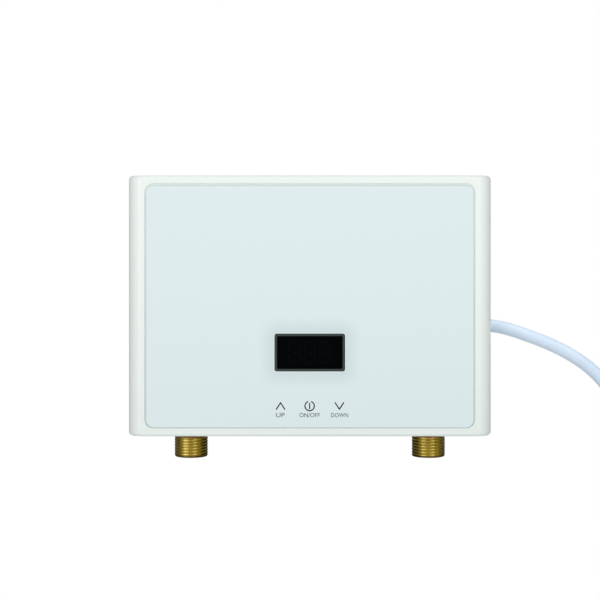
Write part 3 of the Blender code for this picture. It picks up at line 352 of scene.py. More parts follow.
def placeCamera():
    sizes = cameraSizes
    lens = bpy.data.cameras.new("camera")
    lens.sensor_width = sizes["sensor"]
    lens.lens = sizes["sensor"] * sizes["distance"] / (sizes["pixel"] * sizes["frame"])
    half = sizes["frame"] / 2
    axisY = sizes["middleY"] - sizes["rise"] / sizes["pixel"]
    lens.shift_x = (half - sizes["axisX"]) / sizes["frame"]
    lens.shift_y = (axisY - half) / sizes["frame"]
    lens.clip_start = sizes["nearest"]
    view = bpy.data.objects.new("camera", lens)
    view.location = (0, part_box("front_cover")[0].y - sizes["distance"], sizes["rise"])
    view.rotation_euler = (math.radians(90), 0, 0)
    bpy.context.scene.collection.objects.link(view)
    bpy.context.scene.camera = view


placeCamera()


# Shaping tools that several pieces share

def settle(name, shape, slot, angle):
    # The shape becomes a piece: welded, faces out, smooth but for its sharp edges, dressed and riding
    bmesh.ops.remove_doubles(shape, verts=shape.verts, dist=weldGap)
    faceOut(shape)
    return dress(name, shape, slot, angle)


def arcPoints(centre, radius, start, end, steps=6):
    points = []
    for step in range(steps + 1):
        angle = math.radians(start + (end - start) * step / steps)
        points.append((centre[0] + radius * math.cos(angle), centre[1] + radius * math.sin(angle)))
    return points


def vertsOf(grown):
    return [item for item in grown["geom"] if isinstance(item, bmesh.types.BMVert)]


def turnShape(shape, degrees, axis, verts=None):
    turn = Matrix.Rotation(math.radians(degrees), 3, axis)
    bmesh.ops.rotate(shape, cent=(0, 0, 0), matrix=turn, verts=shape.verts if verts is None else verts)


def inPlane(level):
    # The test for edges that lie at one depth from the wall
    return lambda middle: abs(middle.y - level) < hair


def faceOut(shape):
    bmesh.ops.recalc_face_normals(shape, faces=shape.faces)
    if shape.calc_volume(signed=True) < 0:
        bmesh.ops.reverse_faces(shape, faces=shape.faces)


def meshed(name, shape):
    # The shape as an object in the scene
    mesh = bpy.data.meshes.new(name)
    shape.to_mesh(mesh)
    shape.free()
    made = bpy.data.objects.new(name, mesh)
    bpy.context.scene.collection.objects.link(made)
    return made


def dress(name, shape, slot, angle, body=heater):
    made = meshed(name, shape)
    made.data.shade_smooth()
    made.data.set_sharp_from_angle(angle=math.radians(angle))
    made.data.materials.append(finishes[slot])
    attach(made, body)
    return made


def evenShade(made):
    # Keeps large flat faces flat where a rounded edge runs into them
    step = made.modifiers.new("even_shade", "WEIGHTED_NORMAL")
    step.keep_sharp = True
    return made


def addBox(shape, low, high):
    low, high = Vector(low), Vector(high)
    grown = bmesh.ops.create_cube(shape, size=1)
    bmesh.ops.scale(shape, vec=high - low, verts=grown["verts"])
    bmesh.ops.translate(shape, vec=(low + high) / 2, verts=grown["verts"])


def addRod(shape, start, end, radius, sides=48):
    start, end = Vector(start), Vector(end)
    along = end - start
    turn = along.to_track_quat("Z", "Y").to_matrix().to_4x4()
    bmesh.ops.create_cone(
        shape, cap_ends=True, segments=sides, radius1=radius, radius2=radius, depth=along.length,
        matrix=Matrix.Translation((start + end) / 2) @ turn,
    )


def addPlate(shape, width, height, radius, front, back, centre=(0, 0), segments=10):
    # A flat plate with round corners that looks along -Y
    corners = bmesh.ops.create_grid(shape, x_segments=1, y_segments=1, size=0.5)["verts"]
    bmesh.ops.scale(shape, vec=(width, height, 1), verts=corners)
    rounded = bmesh.ops.bevel(
        shape, geom=corners, offset=radius, segments=segments, profile=0.5, affect="VERTICES", material=-1,
    )
    face = rounded["verts"][0].link_faces[0]
    outline = list(face.verts)
    turnShape(shape, 90, "X", outline)
    bmesh.ops.translate(shape, vec=(centre[0], front, centre[1]), verts=outline)
    grown = bmesh.ops.extrude_face_region(shape, geom=[face])
    moved = vertsOf(grown)
    bmesh.ops.translate(shape, vec=(0, back - front, 0), verts=moved)
    return outline + moved


def started(add, *places, **options):
    # A new shape that begins with one box, rod or plate
    shape = bmesh.new()
    add(shape, *places, **options)
    return shape


def stepIn(shape, level, inset, depth, fillet):
    # From the flat face at this level: a narrower step, with a fillet in its inner corner
    flat = [face for face in shape.faces if abs(face.calc_center_median().y - level) < hair]
    face = max(flat, key=lambda face: face.calc_area())
    bmesh.ops.inset_region(shape, faces=[face], thickness=inset, use_even_offset=True, use_boundary=True)
    rim = face.edges[:]
    grown = bmesh.ops.extrude_face_region(shape, geom=[face])
    moved = vertsOf(grown)
    bmesh.ops.translate(shape, vec=(0, depth, 0), verts=moved)
    if face.is_valid:
        bmesh.ops.delete(shape, geom=[face], context="FACES_ONLY")
    bmesh.ops.bevel(
        shape, geom=rim, offset=fillet, segments=5, profile=0.5, affect="EDGES", material=-1,
        clamp_overlap=False,
    )


def roundOff(shape, chosen, offset, segments=4):
    # Rounds each sharp edge whose two ends and middle pass the test
    edges = []
    for edge in shape.edges:
        middle = (edge.verts[0].co + edge.verts[1].co) / 2
        if edge.calc_face_angle(0) > sharpAngle and chosen(middle):
            edges.append(edge)
    bmesh.ops.bevel(
        shape, geom=edges, offset=offset, segments=segments, profile=0.5, affect="EDGES", material=-1,
        clamp_overlap=True,
    )


def solid(shape):
    # A closed helper shape on an object of its own, for one cut or join
    faceOut(shape)
    return meshed("helper", shape)


def worked(shape, steps):
    # Carries the shape through its cuts and joins, and gives it back as one bmesh
    base = solid(shape)
    others = []
    for operation, other in steps:
        tool = solid(other)
        others.append(tool)
        step = base.modifiers.new("work", "BOOLEAN")
        step.operation = operation
        step.object = tool
        step.solver = "EXACT"
    graph = bpy.context.evaluated_depsgraph_get()
    mesh = bpy.data.meshes.new_from_object(base.evaluated_get(graph))
    result = bmesh.new()
    result.from_mesh(mesh)
    bpy.data.meshes.remove(mesh)
    for used in [base, *others]:
        oldMesh = used.data
        bpy.data.objects.remove(used, do_unlink=True)
        bpy.data.meshes.remove(oldMesh)
    bmesh.ops.remove_doubles(result, verts=result.verts, dist=weldGap)
    return result


def mergedCopy(node):
    # The node's loose triangles, welded and with their flat faces whole again
    shape = bmesh.new()
    shape.from_mesh(frame["nodes"][node].data)
    bmesh.ops.remove_doubles(shape, verts=shape.verts, dist=weldGap)
    bmesh.ops.dissolve_limit(shape, angle_limit=flatAngle, verts=shape.verts, edges=shape.edges)
    return shape


def turnedShape(profile, sides=96, centre=(0, 0, 0)):
    # A closed profile of (radius, height) carried once round the Z axis
    shape = bmesh.new()
    points = [shape.verts.new((radius, 0, height)) for radius, height in profile]
    edges = [shape.edges.new((first, second)) for first, second in zip(points, points[1:] + points[:1])]
    bmesh.ops.spin(
        shape, geom=points + edges, cent=(0, 0, 0), axis=(0, 0, 1), angle=2 * math.pi, steps=sides,
        use_merge=True,
    )
    bmesh.ops.remove_doubles(shape, verts=shape.verts, dist=weldGap)
    bmesh.ops.translate(shape, vec=centre, verts=shape.verts)
    return shape


# White surroundings, pale floor and soft studio lamps

lampSizes = [
    # name, size across and up, place, energy
    ("front_softbox", 2.0, 1.3, (0.0, -1.75, 1.10), 4.7),
    ("left_softbox", 0.20, 1.2, (-1.17, -1.44, 0.30), 4.3),
    ("right_softbox", 0.24, 1.2, (1.00, -1.57, 0.30), 3.7),
    ("top_softbox", 1.6, 0.8, (0.0, -0.80, 1.25), 3.6),
    ("low_bounce", 1.2, 0.4, (0.0, -1.05, -0.76), 3.6),
]
metalShade = (1.0, 1.2, 3.4)
linkedLamps = [
    # what it lights, shade, then as above
    ("hot_outlet", metalShade, "outlet_left_lamp", 1.1, 1.2, (-0.98, -1.36, -0.26), 12.2),
    ("hot_outlet", metalShade, "outlet_right_lamp", 0.70, 1.2, (0.68, -1.46, -0.26), 3.5),
    ("cold_inlet", metalShade, "inlet_left_lamp", 1.1, 1.2, (-0.98, -1.36, -0.26), 7.2),
    ("cold_inlet", metalShade, "inlet_right_lamp", 0.70, 1.2, (0.68, -1.46, -0.26), 3.2),
    ("pale_lead", (1.0, 1.0, 1.0), "lead_lamp", 0.6, 0.6, (0.25, -0.20, 1.0), 4.2),
]
worldLight = 0.50
flagPlaces = [
    # name, side, near and far end, foot and top, grey
    ("left_flag", -0.55, -0.16, 1.5, -0.9, 0.9, 168),
    ("right_flag", 0.55, -0.16, 1.5, -0.9, 0.9, 150),
    ("middle_flag", 0.0, -0.05, 0.6, -0.4, -0.086, 96),
]


def hangLamp(name, across, up, place, energy):
    lamp = bpy.data.lights.new(name, "AREA")
    lamp.shape = "RECTANGLE"
    lamp.size = across
    lamp.size_y = up
    lamp.energy = energy
    holder = bpy.data.objects.new(name, lamp)
    holder.location = place
    aim = Vector((0, 0, 0)) - Vector(place)
    holder.rotation_euler = aim.to_track_quat("-Z", "Y").to_euler()
    bpy.context.scene.collection.objects.link(holder)
    return holder


def lightUp():
    # The linked lamps reach only the water fittings, whose bright streaks they make, or the lead
    for sizes in lampSizes:
        hangLamp(*sizes)
    for group, shade, *sizes in linkedLamps:
        holder = hangLamp(*sizes)
        holder.data.color = shade
        holder.light_linking.receiver_collection = litAlone[group]


def surround():
    # White where the camera, a glossy surface or clear glass looks past the object, and dimmer as a light
    world = bpy.data.worlds.new("surroundings")
    bpy.context.scene.world = world
    world.use_nodes = True
    world.node_tree.nodes.clear()
    sky = Mixer(world.node_tree)
    camera, glossy, clear = [
        sky.add("ShaderNodeLightPath", {}, {}, f"Is {ray} Ray")
        for ray in ("Camera", "Glossy", "Transmission")
    ]
    seen = camera.maths("MAXIMUM", camera, glossy.maths("MAXIMUM", glossy, clear))
    dim, white = [
        sky.add("ShaderNodeBackground", {}, {"Color": (1, 1, 1, 1), "Strength": strength})
        for strength in (worldLight, 1.0)
    ]
    mixed = sky.add("ShaderNodeMixShader", {}, {0: seen, 1: dim, 2: white})
    sky.add("ShaderNodeOutputWorld", {}, {0: mixed})


def stand(name, shape, paint):
    # A piece of the stage, no part of the object
    made = meshed(name, shape)
    made.data.materials.append(paint.material)
    made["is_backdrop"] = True
    return made


floorSizes = {"radius": 0.40, "middle": (0.05, -0.03), "below": 2 * mm, "sides": 96}


def layFloor():
    sizes = floorSizes
    shape = bmesh.new()
    bmesh.ops.create_circle(shape, cap_ends=True, segments=sizes["sides"], radius=sizes["radius"])
    place = (*sizes["middle"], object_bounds()[0][2] - sizes["below"])
    bmesh.ops.translate(shape, vec=place, verts=shape.verts)
    stand("floor", shape, Paint("floor_paint", (246, 247, 248), 0.6).grained(300, 3, 0.55, 0.1))


def hangFlags():
    # Grey cards beside the object and between its fittings, seen only in reflections, that give bright
    # metal its darker edges
    for name, side, near, far, foot, top, grey in flagPlaces:
        shape = bmesh.new()
        bmesh.ops.create_grid(shape, x_segments=1, y_segments=1, size=0.5)
        bmesh.ops.scale(shape, vec=(top - foot, far - near, 1), verts=shape.verts)
        turnShape(shape, 90, "Y")
        bmesh.ops.translate(shape, vec=(side, (near + far) / 2, (foot + top) / 2), verts=shape.verts)
        paint = Paint(name, (grey, grey, grey), 0.9, Specular_IOR_Level=0.1)
        flag = stand(name, shape, paint.grained(60, 2, 0.85, 0.1))
        flag.visible_camera = False
        flag.visible_diffuse = False
        flag.visible_shadow = False


litAlone = {group: bpy.data.collections.new(group) for group in ("hot_outlet", "cold_inlet", "pale_lead")}
lightUp()
hangFlags()
surround()
layFloor()
print("camera, lamps and floor are in place")


# Front cover: elliptic sides, soft corners and a stepped rebate for the glass

coverSizes = {
    "width": 225 * mm, "height": 161 * mm, "seam": -41.6 * mm, "front": -52 * mm, "sideCurve": 10.5 * mm,
    "corner": 2.4 * mm, "arcSteps": 30, "wall": 5 * mm, "floor": -45.4 * mm, "glassWidth": 201.3 * mm,
    "glassHeight": 148.8 * mm, "glassRadius": 4.5 * mm, "glassDrop": 0.6 * mm, "groove": 1.0 * mm,
    "grooveAbove": 1.5 * mm, "grooveBelow": 0.2 * mm, "grooveDepth": 1.35 * mm, "pocketSpare": 0.15 * mm,
    "pocketFloor": -47.9 * mm, "rimRound": 0.45 * mm, "lipReachX": 109.7 * mm, "lipReachZ": 77.7 * mm,
    "lipDepth": 1.5 * mm, "rootDepth": 1.2 * mm, "postX": 49 * mm, "postHigh": -21.5 * mm,
    "postLow": -65.5 * mm, "postRadius": 3 * mm, "postEnd": -42.8 * mm, "bossX": 100 * mm, "bossZ": 65 * mm,
    "bossRadius": 4.5 * mm, "bossEnd": -25.3 * mm, "pilotRadius": 1.8 * mm, "pilotDepth": 12 * mm,
    "touchRadius": 3.3 * mm, "touchRow": -61.6 * mm, "touchPlaces": (-18.3 * mm, 0, 17.9 * mm),
    "rimStep": 1.2, "pocketStart": 0.5 * mm, "hollowPast": 3 * mm,
}


def coverBlank():
    sizes = coverSizes
    half = sizes["width"] / 2
    centre = half - sizes["sideCurve"]
    low = -sizes["height"] / 2
    shape = bmesh.new()
    start = shape.verts.new((half, 0, low))
    bmesh.ops.spin(
        shape, geom=[start], cent=(centre, 0, low), axis=(0, 0, 1), angle=-math.pi / 2,
        steps=sizes["arcSteps"],
    )
    depth = sizes["seam"] - sizes["front"]
    bmesh.ops.scale(shape, vec=(1, depth / sizes["sideCurve"], 1), verts=shape.verts)
    bmesh.ops.translate(shape, vec=(0, sizes["seam"], 0), verts=shape.verts)
    bmesh.ops.mirror(shape, geom=shape.verts[:] + shape.edges[:], axis="X", merge_dist=-1)
    ordered = sorted(shape.verts, key=lambda vertex: vertex.co.y)
    shape.edges.new(ordered[:2])
    shape.edges.new(ordered[-2:])
    bmesh.ops.contextual_create(shape, geom=shape.edges[:])
    grown = bmesh.ops.extrude_face_region(shape, geom=shape.faces[:])
    moved = vertsOf(grown)
    bmesh.ops.translate(shape, vec=(0, 0, sizes["height"]), verts=moved)
    bmesh.ops.recalc_face_normals(shape, faces=shape.faces)
    high = sizes["height"] / 2 - seatGap
    near = sizes["seam"] - 5 * hair
    roundOff(shape, lambda middle: abs(middle.z) > high and middle.y < near, sizes["corner"], 8)
    return shape


def coverPosts():
    # Posts for the display board and bosses for the case screws, on the cover's inside
    sizes = coverSizes
    root = sizes["floor"] - sizes["rootDepth"]
    shape = bmesh.new()
    for side in (-1, 1):
        for z in (sizes["postHigh"], sizes["postLow"]):
            x = side * sizes["postX"]
            addRod(shape, (x, root, z), (x, sizes["postEnd"], z), sizes["postRadius"], sides=24)
        for z in (sizes["bossZ"], -sizes["bossZ"]):
            x = side * sizes["bossX"]
            addRod(shape, (x, root, z), (x, sizes["bossEnd"], z), sizes["bossRadius"], sides=32)
    return shape


def coverHoles():
    # Pilot holes in the bosses, three holes for the touch springs and the display's opening
    sizes = coverSizes
    front, back = sizes["pocketFloor"] - mm, sizes["floor"] + mm
    shape = bmesh.new()
    for x in (-sizes["bossX"], sizes["bossX"]):
        for z in (-sizes["bossZ"], sizes["bossZ"]):
            start = (x, sizes["bossEnd"] - sizes["pilotDepth"], z)
            addRod(shape, start, (x, sizes["bossEnd"] + mm, z), sizes["pilotRadius"], sides=20)
    row = sizes["touchRow"]
    for x in sizes["touchPlaces"]:
        addRod(shape, (x, front, row), (x, back, row), sizes["touchRadius"], sides=24)
    halfX, halfZ = displaySizes["width"] / 2, displaySizes["height"] / 2
    middle = -displaySizes["drop"]
    addBox(shape, (-halfX, front, middle - halfZ), (halfX, back, middle + halfZ))
    return shape


def makeCover():
    sizes = coverSizes
    front = sizes["front"]
    width, height, radius = sizes["glassWidth"], sizes["glassHeight"], sizes["glassRadius"]
    rim = sizes["rimStep"] * sizes["rimRound"]
    spare = sizes["groove"] + rim
    above, below = sizes["grooveAbove"] + rim, sizes["grooveBelow"] + rim
    middle = (0, (above - below) / 2 - sizes["glassDrop"])
    groove = started(
        addPlate, width + 2 * spare, height + above + below, radius + spare, front - mm, front, middle,
    )
    stepIn(groove, front, rim, sizes["grooveDepth"], sizes["rimRound"])
    spare = sizes["pocketSpare"]
    pocket = started(
        addPlate, width + 2 * spare, height + 2 * spare, radius + spare, front - sizes["pocketStart"],
        sizes["pocketFloor"], (0, -sizes["glassDrop"]),
    )
    seam = sizes["seam"]
    reachX, reachZ = sizes["lipReachX"], sizes["lipReachZ"]
    lip = started(addBox, (-reachX, seam - mm, -reachZ), (reachX, seam + sizes["lipDepth"], reachZ))
    reachX, reachZ = sizes["width"] / 2 - sizes["wall"], sizes["height"] / 2 - sizes["wall"]
    hollow = started(addBox, (-reachX, sizes["floor"], -reachZ), (reachX, seam + sizes["hollowPast"], reachZ))
    shape = worked(coverBlank(), [
        ("UNION", lip), ("DIFFERENCE", groove), ("DIFFERENCE", pocket), ("DIFFERENCE", hollow),
        ("UNION", coverPosts()), ("DIFFERENCE", coverHoles()),
    ])
    cover = evenShade(settle("cover_moulding", shape, "white_plastic", 30))
    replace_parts(cover, "front_cover")


makeCover()
shell = evenShade(dress("shell_moulding", mergedCopy("back_shell"), "white_plastic", 30))
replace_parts(shell, "back_shell")
print("casing moulded")


# Glass panel with its display window

glassSizes = {
    "thickness": 3.0 * mm, "edge": 0.2 * mm, "windowSpare": 0.3 * mm, "windowEdge": 0.9 * mm,
    "edgeProud": 0.03 * mm, "edgeDepth": 0.3 * mm, "edgeSpare": 0.1 * mm,
}


def makeGlass():
    cover = coverSizes
    front = cover["front"]
    back = front + glassSizes["thickness"]
    shape = started(
        addPlate, cover["glassWidth"], cover["glassHeight"], cover["glassRadius"], front, back,
        (0, -cover["glassDrop"]), 14,
    )
    roundOff(shape, inPlane(front), glassSizes["edge"], 3)
    spare = glassSizes["windowSpare"]
    window = started(
        addPlate, displaySizes["width"] + 2 * spare, displaySizes["height"] + 2 * spare,
        displaySizes["corner"] + spare, front - mm, back + mm, (0, -displaySizes["drop"]), 6,
    )
    shape = worked(shape, [("DIFFERENCE", window)])
    glass = evenShade(settle("glass_front", shape, "pale_glass", 40))
    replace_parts(glass, "glass_panel")


def makeWindowHighlight():
    # Painted highlight: a pale line round the display's frame, brighter than the glass, for the light on the
    # window's polished edge
    sizes = glassSizes
    width, height, corner = displaySizes["width"], displaySizes["height"], displaySizes["corner"]
    front = coverSizes["front"]
    middle = (0, -displaySizes["drop"])
    edge = sizes["windowEdge"]
    start, end = front - sizes["edgeProud"], front + sizes["edgeDepth"]
    shape = started(addPlate, width + edge, height + edge, corner + edge / 2, start, end, middle, 8)
    spare = sizes["edgeSpare"]
    hole = started(addPlate, width + spare, height + spare, corner, front - mm, front + mm, middle, 8)
    settle("window_edge_highlight", worked(shape, [("DIFFERENCE", hole)]), "window_edge_highlight", 40)


# A pale ink for the painted highlight on the window's edge
finishes["window_edge_highlight"] = printedInk("window_edge_highlight", (236, 246, 247), 0.5)
makeGlass()
makeWindowHighlight()
print("glass set in its rebate")


# Display: thin frame, smoked lens and the unlit segments behind it

def makeDisplayFrame():
    sizes = displaySizes
    front = coverSizes["front"] - sizes["proud"]
    back = coverSizes["front"] + glassSizes["thickness"]
    width, height, corner = sizes["width"], sizes["height"], sizes["corner"]
    middle = (0, -sizes["drop"])
    shape = started(addPlate, width, height, corner, front, back, middle, 8)
    roundOff(shape, inPlane(front), sizes["edge"], 3)
    band = 2 * sizes["band"]
    hole = started(addPlate, width - band, height - band, corner / 2, front - mm, back + mm, middle, 6)
    shape = worked(shape, [("DIFFERENCE", hole)])
    trim = evenShade(settle("display_trim", shape, "dark_trim", 40))
    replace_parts(trim, "display_frame")


def makeLens():
    sizes = displaySizes
    width = sizes["width"] - 2 * sizes["band"] - 2 * seatGap
    height = sizes["height"] - 2 * sizes["band"] - 2 * seatGap
    low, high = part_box("display_lens")
    shape = started(addPlate, width, height, sizes["corner"] / 2, low.y, high.y, (0, -sizes["drop"]), 6)
    roundOff(shape, inPlane(low.y), sizes["lensEdge"], 2)
    lens = evenShade(settle("smoked_lens", shape, "black_lens", 40))
    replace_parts(lens, "display_lens")
    return low.y


def segmentPlaces(width, height):
    # Middle, length and whether it stands, for the seven bars of one figure
    up = height / 4
    side = width / 2
    return [
        ((0, height / 2), width, False), ((0, 0), width, False), ((0, -height / 2), width, False),
        ((-side, up), height / 2, True), ((side, up), height / 2, True),
        ((-side, -up), height / 2, True), ((side, -up), height / 2, True),
    ]


def makeSegments(front):
    # Ghosts of the unlit figures, a hair's breadth proud of the lens
    sizes = displaySizes
    shape = bmesh.new()
    stroke = sizes["digitStroke"]
    gap, radius = stroke * sizes["strokeGap"], stroke * sizes["strokeRound"]
    start, end = front - sizes["digitProud"], front + sizes["digitDepth"]
    for number in (-1, 0, 1):
        for (x, z), length, stands in segmentPlaces(sizes["digitWidth"], sizes["digitHeight"]):
            middle = (x + number * sizes["digitGap"], z - sizes["drop"])
            across, up = (stroke, length - gap) if stands else (length - gap, stroke)
            addPlate(shape, across, up, radius, start, end, middle, 2)
    settle("unlit_figures", shape, "ghost_figures", 30)


finishes["ghost_figures"] = printedInk("ghost_figures", (10, 11, 13), 0.0)
makeDisplayFrame()
makeSegments(makeLens())
print("display fitted")


# Touch marks and their words, printed on the glass

markSizes = {
    "row": -61.6 * mm, "up": -18.0 * mm, "power": -0.1 * mm, "down": 18.2 * mm, "chevronWidth": 5.9 * mm,
    "chevronHeight": 4.7 * mm, "stroke": 0.74 * mm, "strokeEnd": 0.49, "ringRadius": 2.87 * mm,
    "ringGap": 36, "ringSteps": 64, "bar": 1.6 * mm, "wordRow": -67.2 * mm, "capHeight": 2.6 * mm,
    "ink": 0.04 * mm, "sink": 0.02 * mm,
}


def addBar(shape, first, second, width, front, back):
    # A straight printed stroke with round ends
    middle = ((first[0] + second[0]) / 2, (first[1] + second[1]) / 2)
    length = math.dist(first, second) + width
    points = addPlate(shape, length, width, width * markSizes["strokeEnd"], front, back, (0, 0), 5)
    turn = Matrix.Rotation(-math.atan2(second[1] - first[1], second[0] - first[0]), 3, "Y")
    bmesh.ops.rotate(shape, cent=(0, 0, 0), matrix=turn, verts=points)
    bmesh.ops.translate(shape, vec=(middle[0], 0, middle[1]), verts=points)


def makeMarks():
    sizes = markSizes
    front = coverSizes["front"] - sizes["ink"]
    back = coverSizes["front"] + sizes["sink"]
    halfX = (sizes["chevronWidth"] - sizes["stroke"]) / 2
    halfZ = (sizes["chevronHeight"] - sizes["stroke"]) / 2
    shape = bmesh.new()
    for x, way in ((sizes["up"], 1), (sizes["down"], -1)):
        tip = (x, sizes["row"] + way * halfZ)
        for side in (-1, 1):
            addBar(shape, (x + side * halfX, sizes["row"] - way * halfZ), tip, sizes["stroke"], front, back)
    ring = bmesh.new()
    radius = sizes["ringRadius"]
    half = sizes["stroke"] / 2
    corners = [
        ring.verts.new((0, y, radius + reach))
        for y, reach in ((front, -half), (front, half), (back, half), (back, -half))
    ]
    section = ring.faces.new(corners)
    turnShape(ring, sizes["ringGap"] / 2, "Y")
    bmesh.ops.spin(
        ring, geom=[section], cent=(0, 0, 0), axis=(0, 1, 0), angle=math.radians(360 - sizes["ringGap"]),
        steps=sizes["ringSteps"],
    )
    x, row, bar = sizes["power"], sizes["row"], sizes["bar"]
    bmesh.ops.translate(ring, vec=(x, 0, row), verts=ring.verts)
    addBar(ring, (x, row - bar), (x, row + bar), sizes["stroke"], front, back)
    settle("touch_chevrons", shape, "mark_ink", 30)
    settle("touch_power", ring, "mark_ink", 30)


# Name, words, place across and width
wordPlaces = [
    ("word_up", "UP", markSizes["up"] - 0.1 * mm, 5.3 * mm),
    ("word_on_off", "ON/OFF", markSizes["power"], 12.5 * mm),
    ("word_down", "DOWN", markSizes["down"] + 0.1 * mm, 10.5 * mm),
]


def makeWord(name, words, x, width):
    sizes = markSizes
    curve = bpy.data.curves.new(name, "FONT")
    curve.body = words
    curve.align_x = "CENTER"
    curve.size = sizes["capHeight"]
    curve.extrude = sizes["ink"] / 2
    curve.resolution_u = 6
    holder = bpy.data.objects.new(name, curve)
    bpy.context.scene.collection.objects.link(holder)
    graph = bpy.context.evaluated_depsgraph_get()
    mesh = bpy.data.meshes.new_from_object(holder.evaluated_get(graph))
    bpy.data.objects.remove(holder, do_unlink=True)
    shape = bmesh.new()
    shape.from_mesh(mesh)
    bpy.data.meshes.remove(mesh)
    across = [vertex.co.x for vertex in shape.verts]
    up = [vertex.co.y for vertex in shape.verts]
    middle = Vector(((max(across) + min(across)) / 2, (max(up) + min(up)) / 2, 0))
    bmesh.ops.translate(shape, vec=-middle, verts=shape.verts)
    stretch = (width / (max(across) - min(across)), sizes["capHeight"] / (max(up) - min(up)), 1)
    bmesh.ops.scale(shape, vec=stretch, verts=shape.verts)
    turnShape(shape, 90, "X")
    place = (x, coverSizes["front"] - sizes["ink"] / 2, sizes["wordRow"])
    bmesh.ops.translate(shape, vec=place, verts=shape.verts)
    settle(name, shape, "word_ink", 30)


finishes["mark_ink"] = printedInk("mark_ink", (28, 36, 38))
finishes["word_ink"] = printedInk("word_ink", (62, 70, 72))
makeMarks()
for name, words, x, width in wordPlaces:
    makeWord(name, words, x, width)
print("marks printed")


# Water fittings with their cut thread

fittingSizes = {
    "x": 75 * mm, "radius": 10.48 * mm, "pitch": 1.814 * mm, "depth": 0.31 * mm, "phase": 0.6 * mm,
    "profileSteps": 12, "steps": 72, "bore": 7.5 * mm, "innerBore": 6.0 * mm, "boreStep": 24.5 * mm,
    "startOver": 1.5, "turnsOver": 3, "meet": 0.002 * mm, "cutGap": 0.0005 * mm, "overlap": 0.5 * mm,
    "rimCurve": 1.7 * mm, "rimRound": 0.35 * mm, "spare": 0.1 * mm, "flangeTop": 8.7 * mm,
    "flangeHeight": 4 * mm, "spigot": 9 * mm,
}
sealSizes = {
    "bore": 9.2 * mm, "radius": 10.58 * mm, "height": 2.2 * mm, "edge": 0.2 * mm, "sink": 0.05 * mm,
}


def threadedRod(low, high, turn):
    # One turn's worth of profile, carried down a right-hand thread so that each turn meets the next
    sizes = fittingSizes
    pitch = sizes["pitch"]
    crest = sizes["radius"]
    turns = math.ceil((high - low) / pitch) + sizes["turnsOver"]
    top = high + sizes["startOver"] * pitch - sizes["phase"]
    shape = bmesh.new()
    points = []
    for step in range(sizes["profileSteps"] + 1):
        share = step / sizes["profileSteps"]
        dip = sizes["depth"] * ((1 - math.cos(2 * math.pi * share)) / 2) ** 2
        points.append(shape.verts.new((crest - dip, 0, top - share * pitch)))
    edges = [shape.edges.new((first, second)) for first, second in zip(points, points[1:])]
    bmesh.ops.spin(
        shape, geom=points + edges, cent=(0, 0, 0), axis=(0, 0, 1), dvec=(0, 0, -pitch / sizes["steps"]),
        angle=-2 * math.pi * turns, steps=sizes["steps"] * turns,
    )
    bmesh.ops.remove_doubles(shape, verts=shape.verts, dist=sizes["meet"])
    for height, normal in ((low, (0, 0, -1)), (high, (0, 0, 1))):
        everything = shape.verts[:] + shape.edges[:] + shape.faces[:]
        cutLine = bmesh.ops.bisect_plane(
            shape, geom=everything, dist=sizes["cutGap"], plane_co=(0, 0, height), plane_no=normal,
            clear_outer=True,
        )
        rim = [item for item in cutLine["geom_cut"] if isinstance(item, bmesh.types.BMEdge)]
        bmesh.ops.contextual_create(shape, geom=rim)
    turnShape(shape, turn, "Z")
    return shape


def makeFitting(name, node, x, turn):
    sizes = fittingSizes
    low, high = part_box(node)
    y = (low.y + high.y) / 2
    flangeLow = high.z - sizes["flangeTop"]
    outer = sizes["radius"] + sizes["spare"]
    curve = sizes["rimCurve"]
    rim = arcPoints((outer - curve, low.z + curve), curve, -90, 0, 8)
    envelope = turnedShape([(0, low.z), *rim, (outer, flangeLow + mm), (0, flangeLow + mm)])
    step = low.z + sizes["boreStep"]
    bore = started(addRod, (0, 0, low.z - mm), (0, 0, step), sizes["bore"], sides=72)
    upper = started(addRod, (0, 0, low.z), (0, 0, high.z + mm), sizes["innerBore"])
    flangeHigh = flangeLow + sizes["flangeHeight"]
    flange = started(addBox, (low.x - x, low.y - y, flangeLow), (high.x - x, high.y - y, flangeHigh))
    spigot = started(addRod, (0, 0, flangeLow + mm), (0, 0, high.z), sizes["spigot"])
    shape = worked(threadedRod(low.z - mm, flangeLow + sizes["overlap"], turn), [
        ("INTERSECT", envelope), ("UNION", flange), ("UNION", spigot), ("DIFFERENCE", bore),
        ("DIFFERENCE", upper),
    ])

    def atMouth(middle):
        within = math.hypot(middle.x, middle.y) < sizes["bore"] + sizes["spare"]
        return within and abs(middle.z - low.z) < hair

    roundOff(shape, atMouth, sizes["rimRound"], 3)
    bmesh.ops.translate(shape, vec=(x, y, 0), verts=shape.verts)
    fitting = settle(name, shape, "brass", 32)
    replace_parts(fitting, node)
    litAlone[name].objects.link(fitting)
    caseLow = -coverSizes["height"] / 2
    inner, outer, edge = sealSizes["bore"], sealSizes["radius"], sealSizes["edge"]
    top, foot = caseLow + sealSizes["sink"], caseLow - sealSizes["height"]
    seal = turnedShape([
        (inner, top), (outer - edge, top), (outer, caseLow - edge),
        (outer, foot + edge), (outer - edge, foot), (inner, foot),
    ], centre=(x, y, 0))
    settle(f"{name}_seal", seal, "fibre_seal", 40)


finishes["fibre_seal"] = printedInk("fibre_seal", (108, 54, 28))
makeFitting("cold_inlet", "inlet_fitting", fittingSizes["x"], -80)
makeFitting("hot_outlet", "outlet_fitting", -fittingSizes["x"], 180)
print("fittings threaded")


# Back: stamped hanger plates and recessed cross-head screws

hangerSizes = {"edge": 0.3 * mm, "skin": 0.05 * mm}


def makeHangers():
    for side in ("left", "right"):
        node = f"hanger_plate_{side}"
        shape = mergedCopy(node)
        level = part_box(node)[1].y - hangerSizes["skin"]
        roundOff(shape, lambda middle: middle.y > level, hangerSizes["edge"], 2)
        plate = evenShade(settle(f"wall_hanger_{side}", shape, "zinc_steel", 40))
        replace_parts(plate, node)


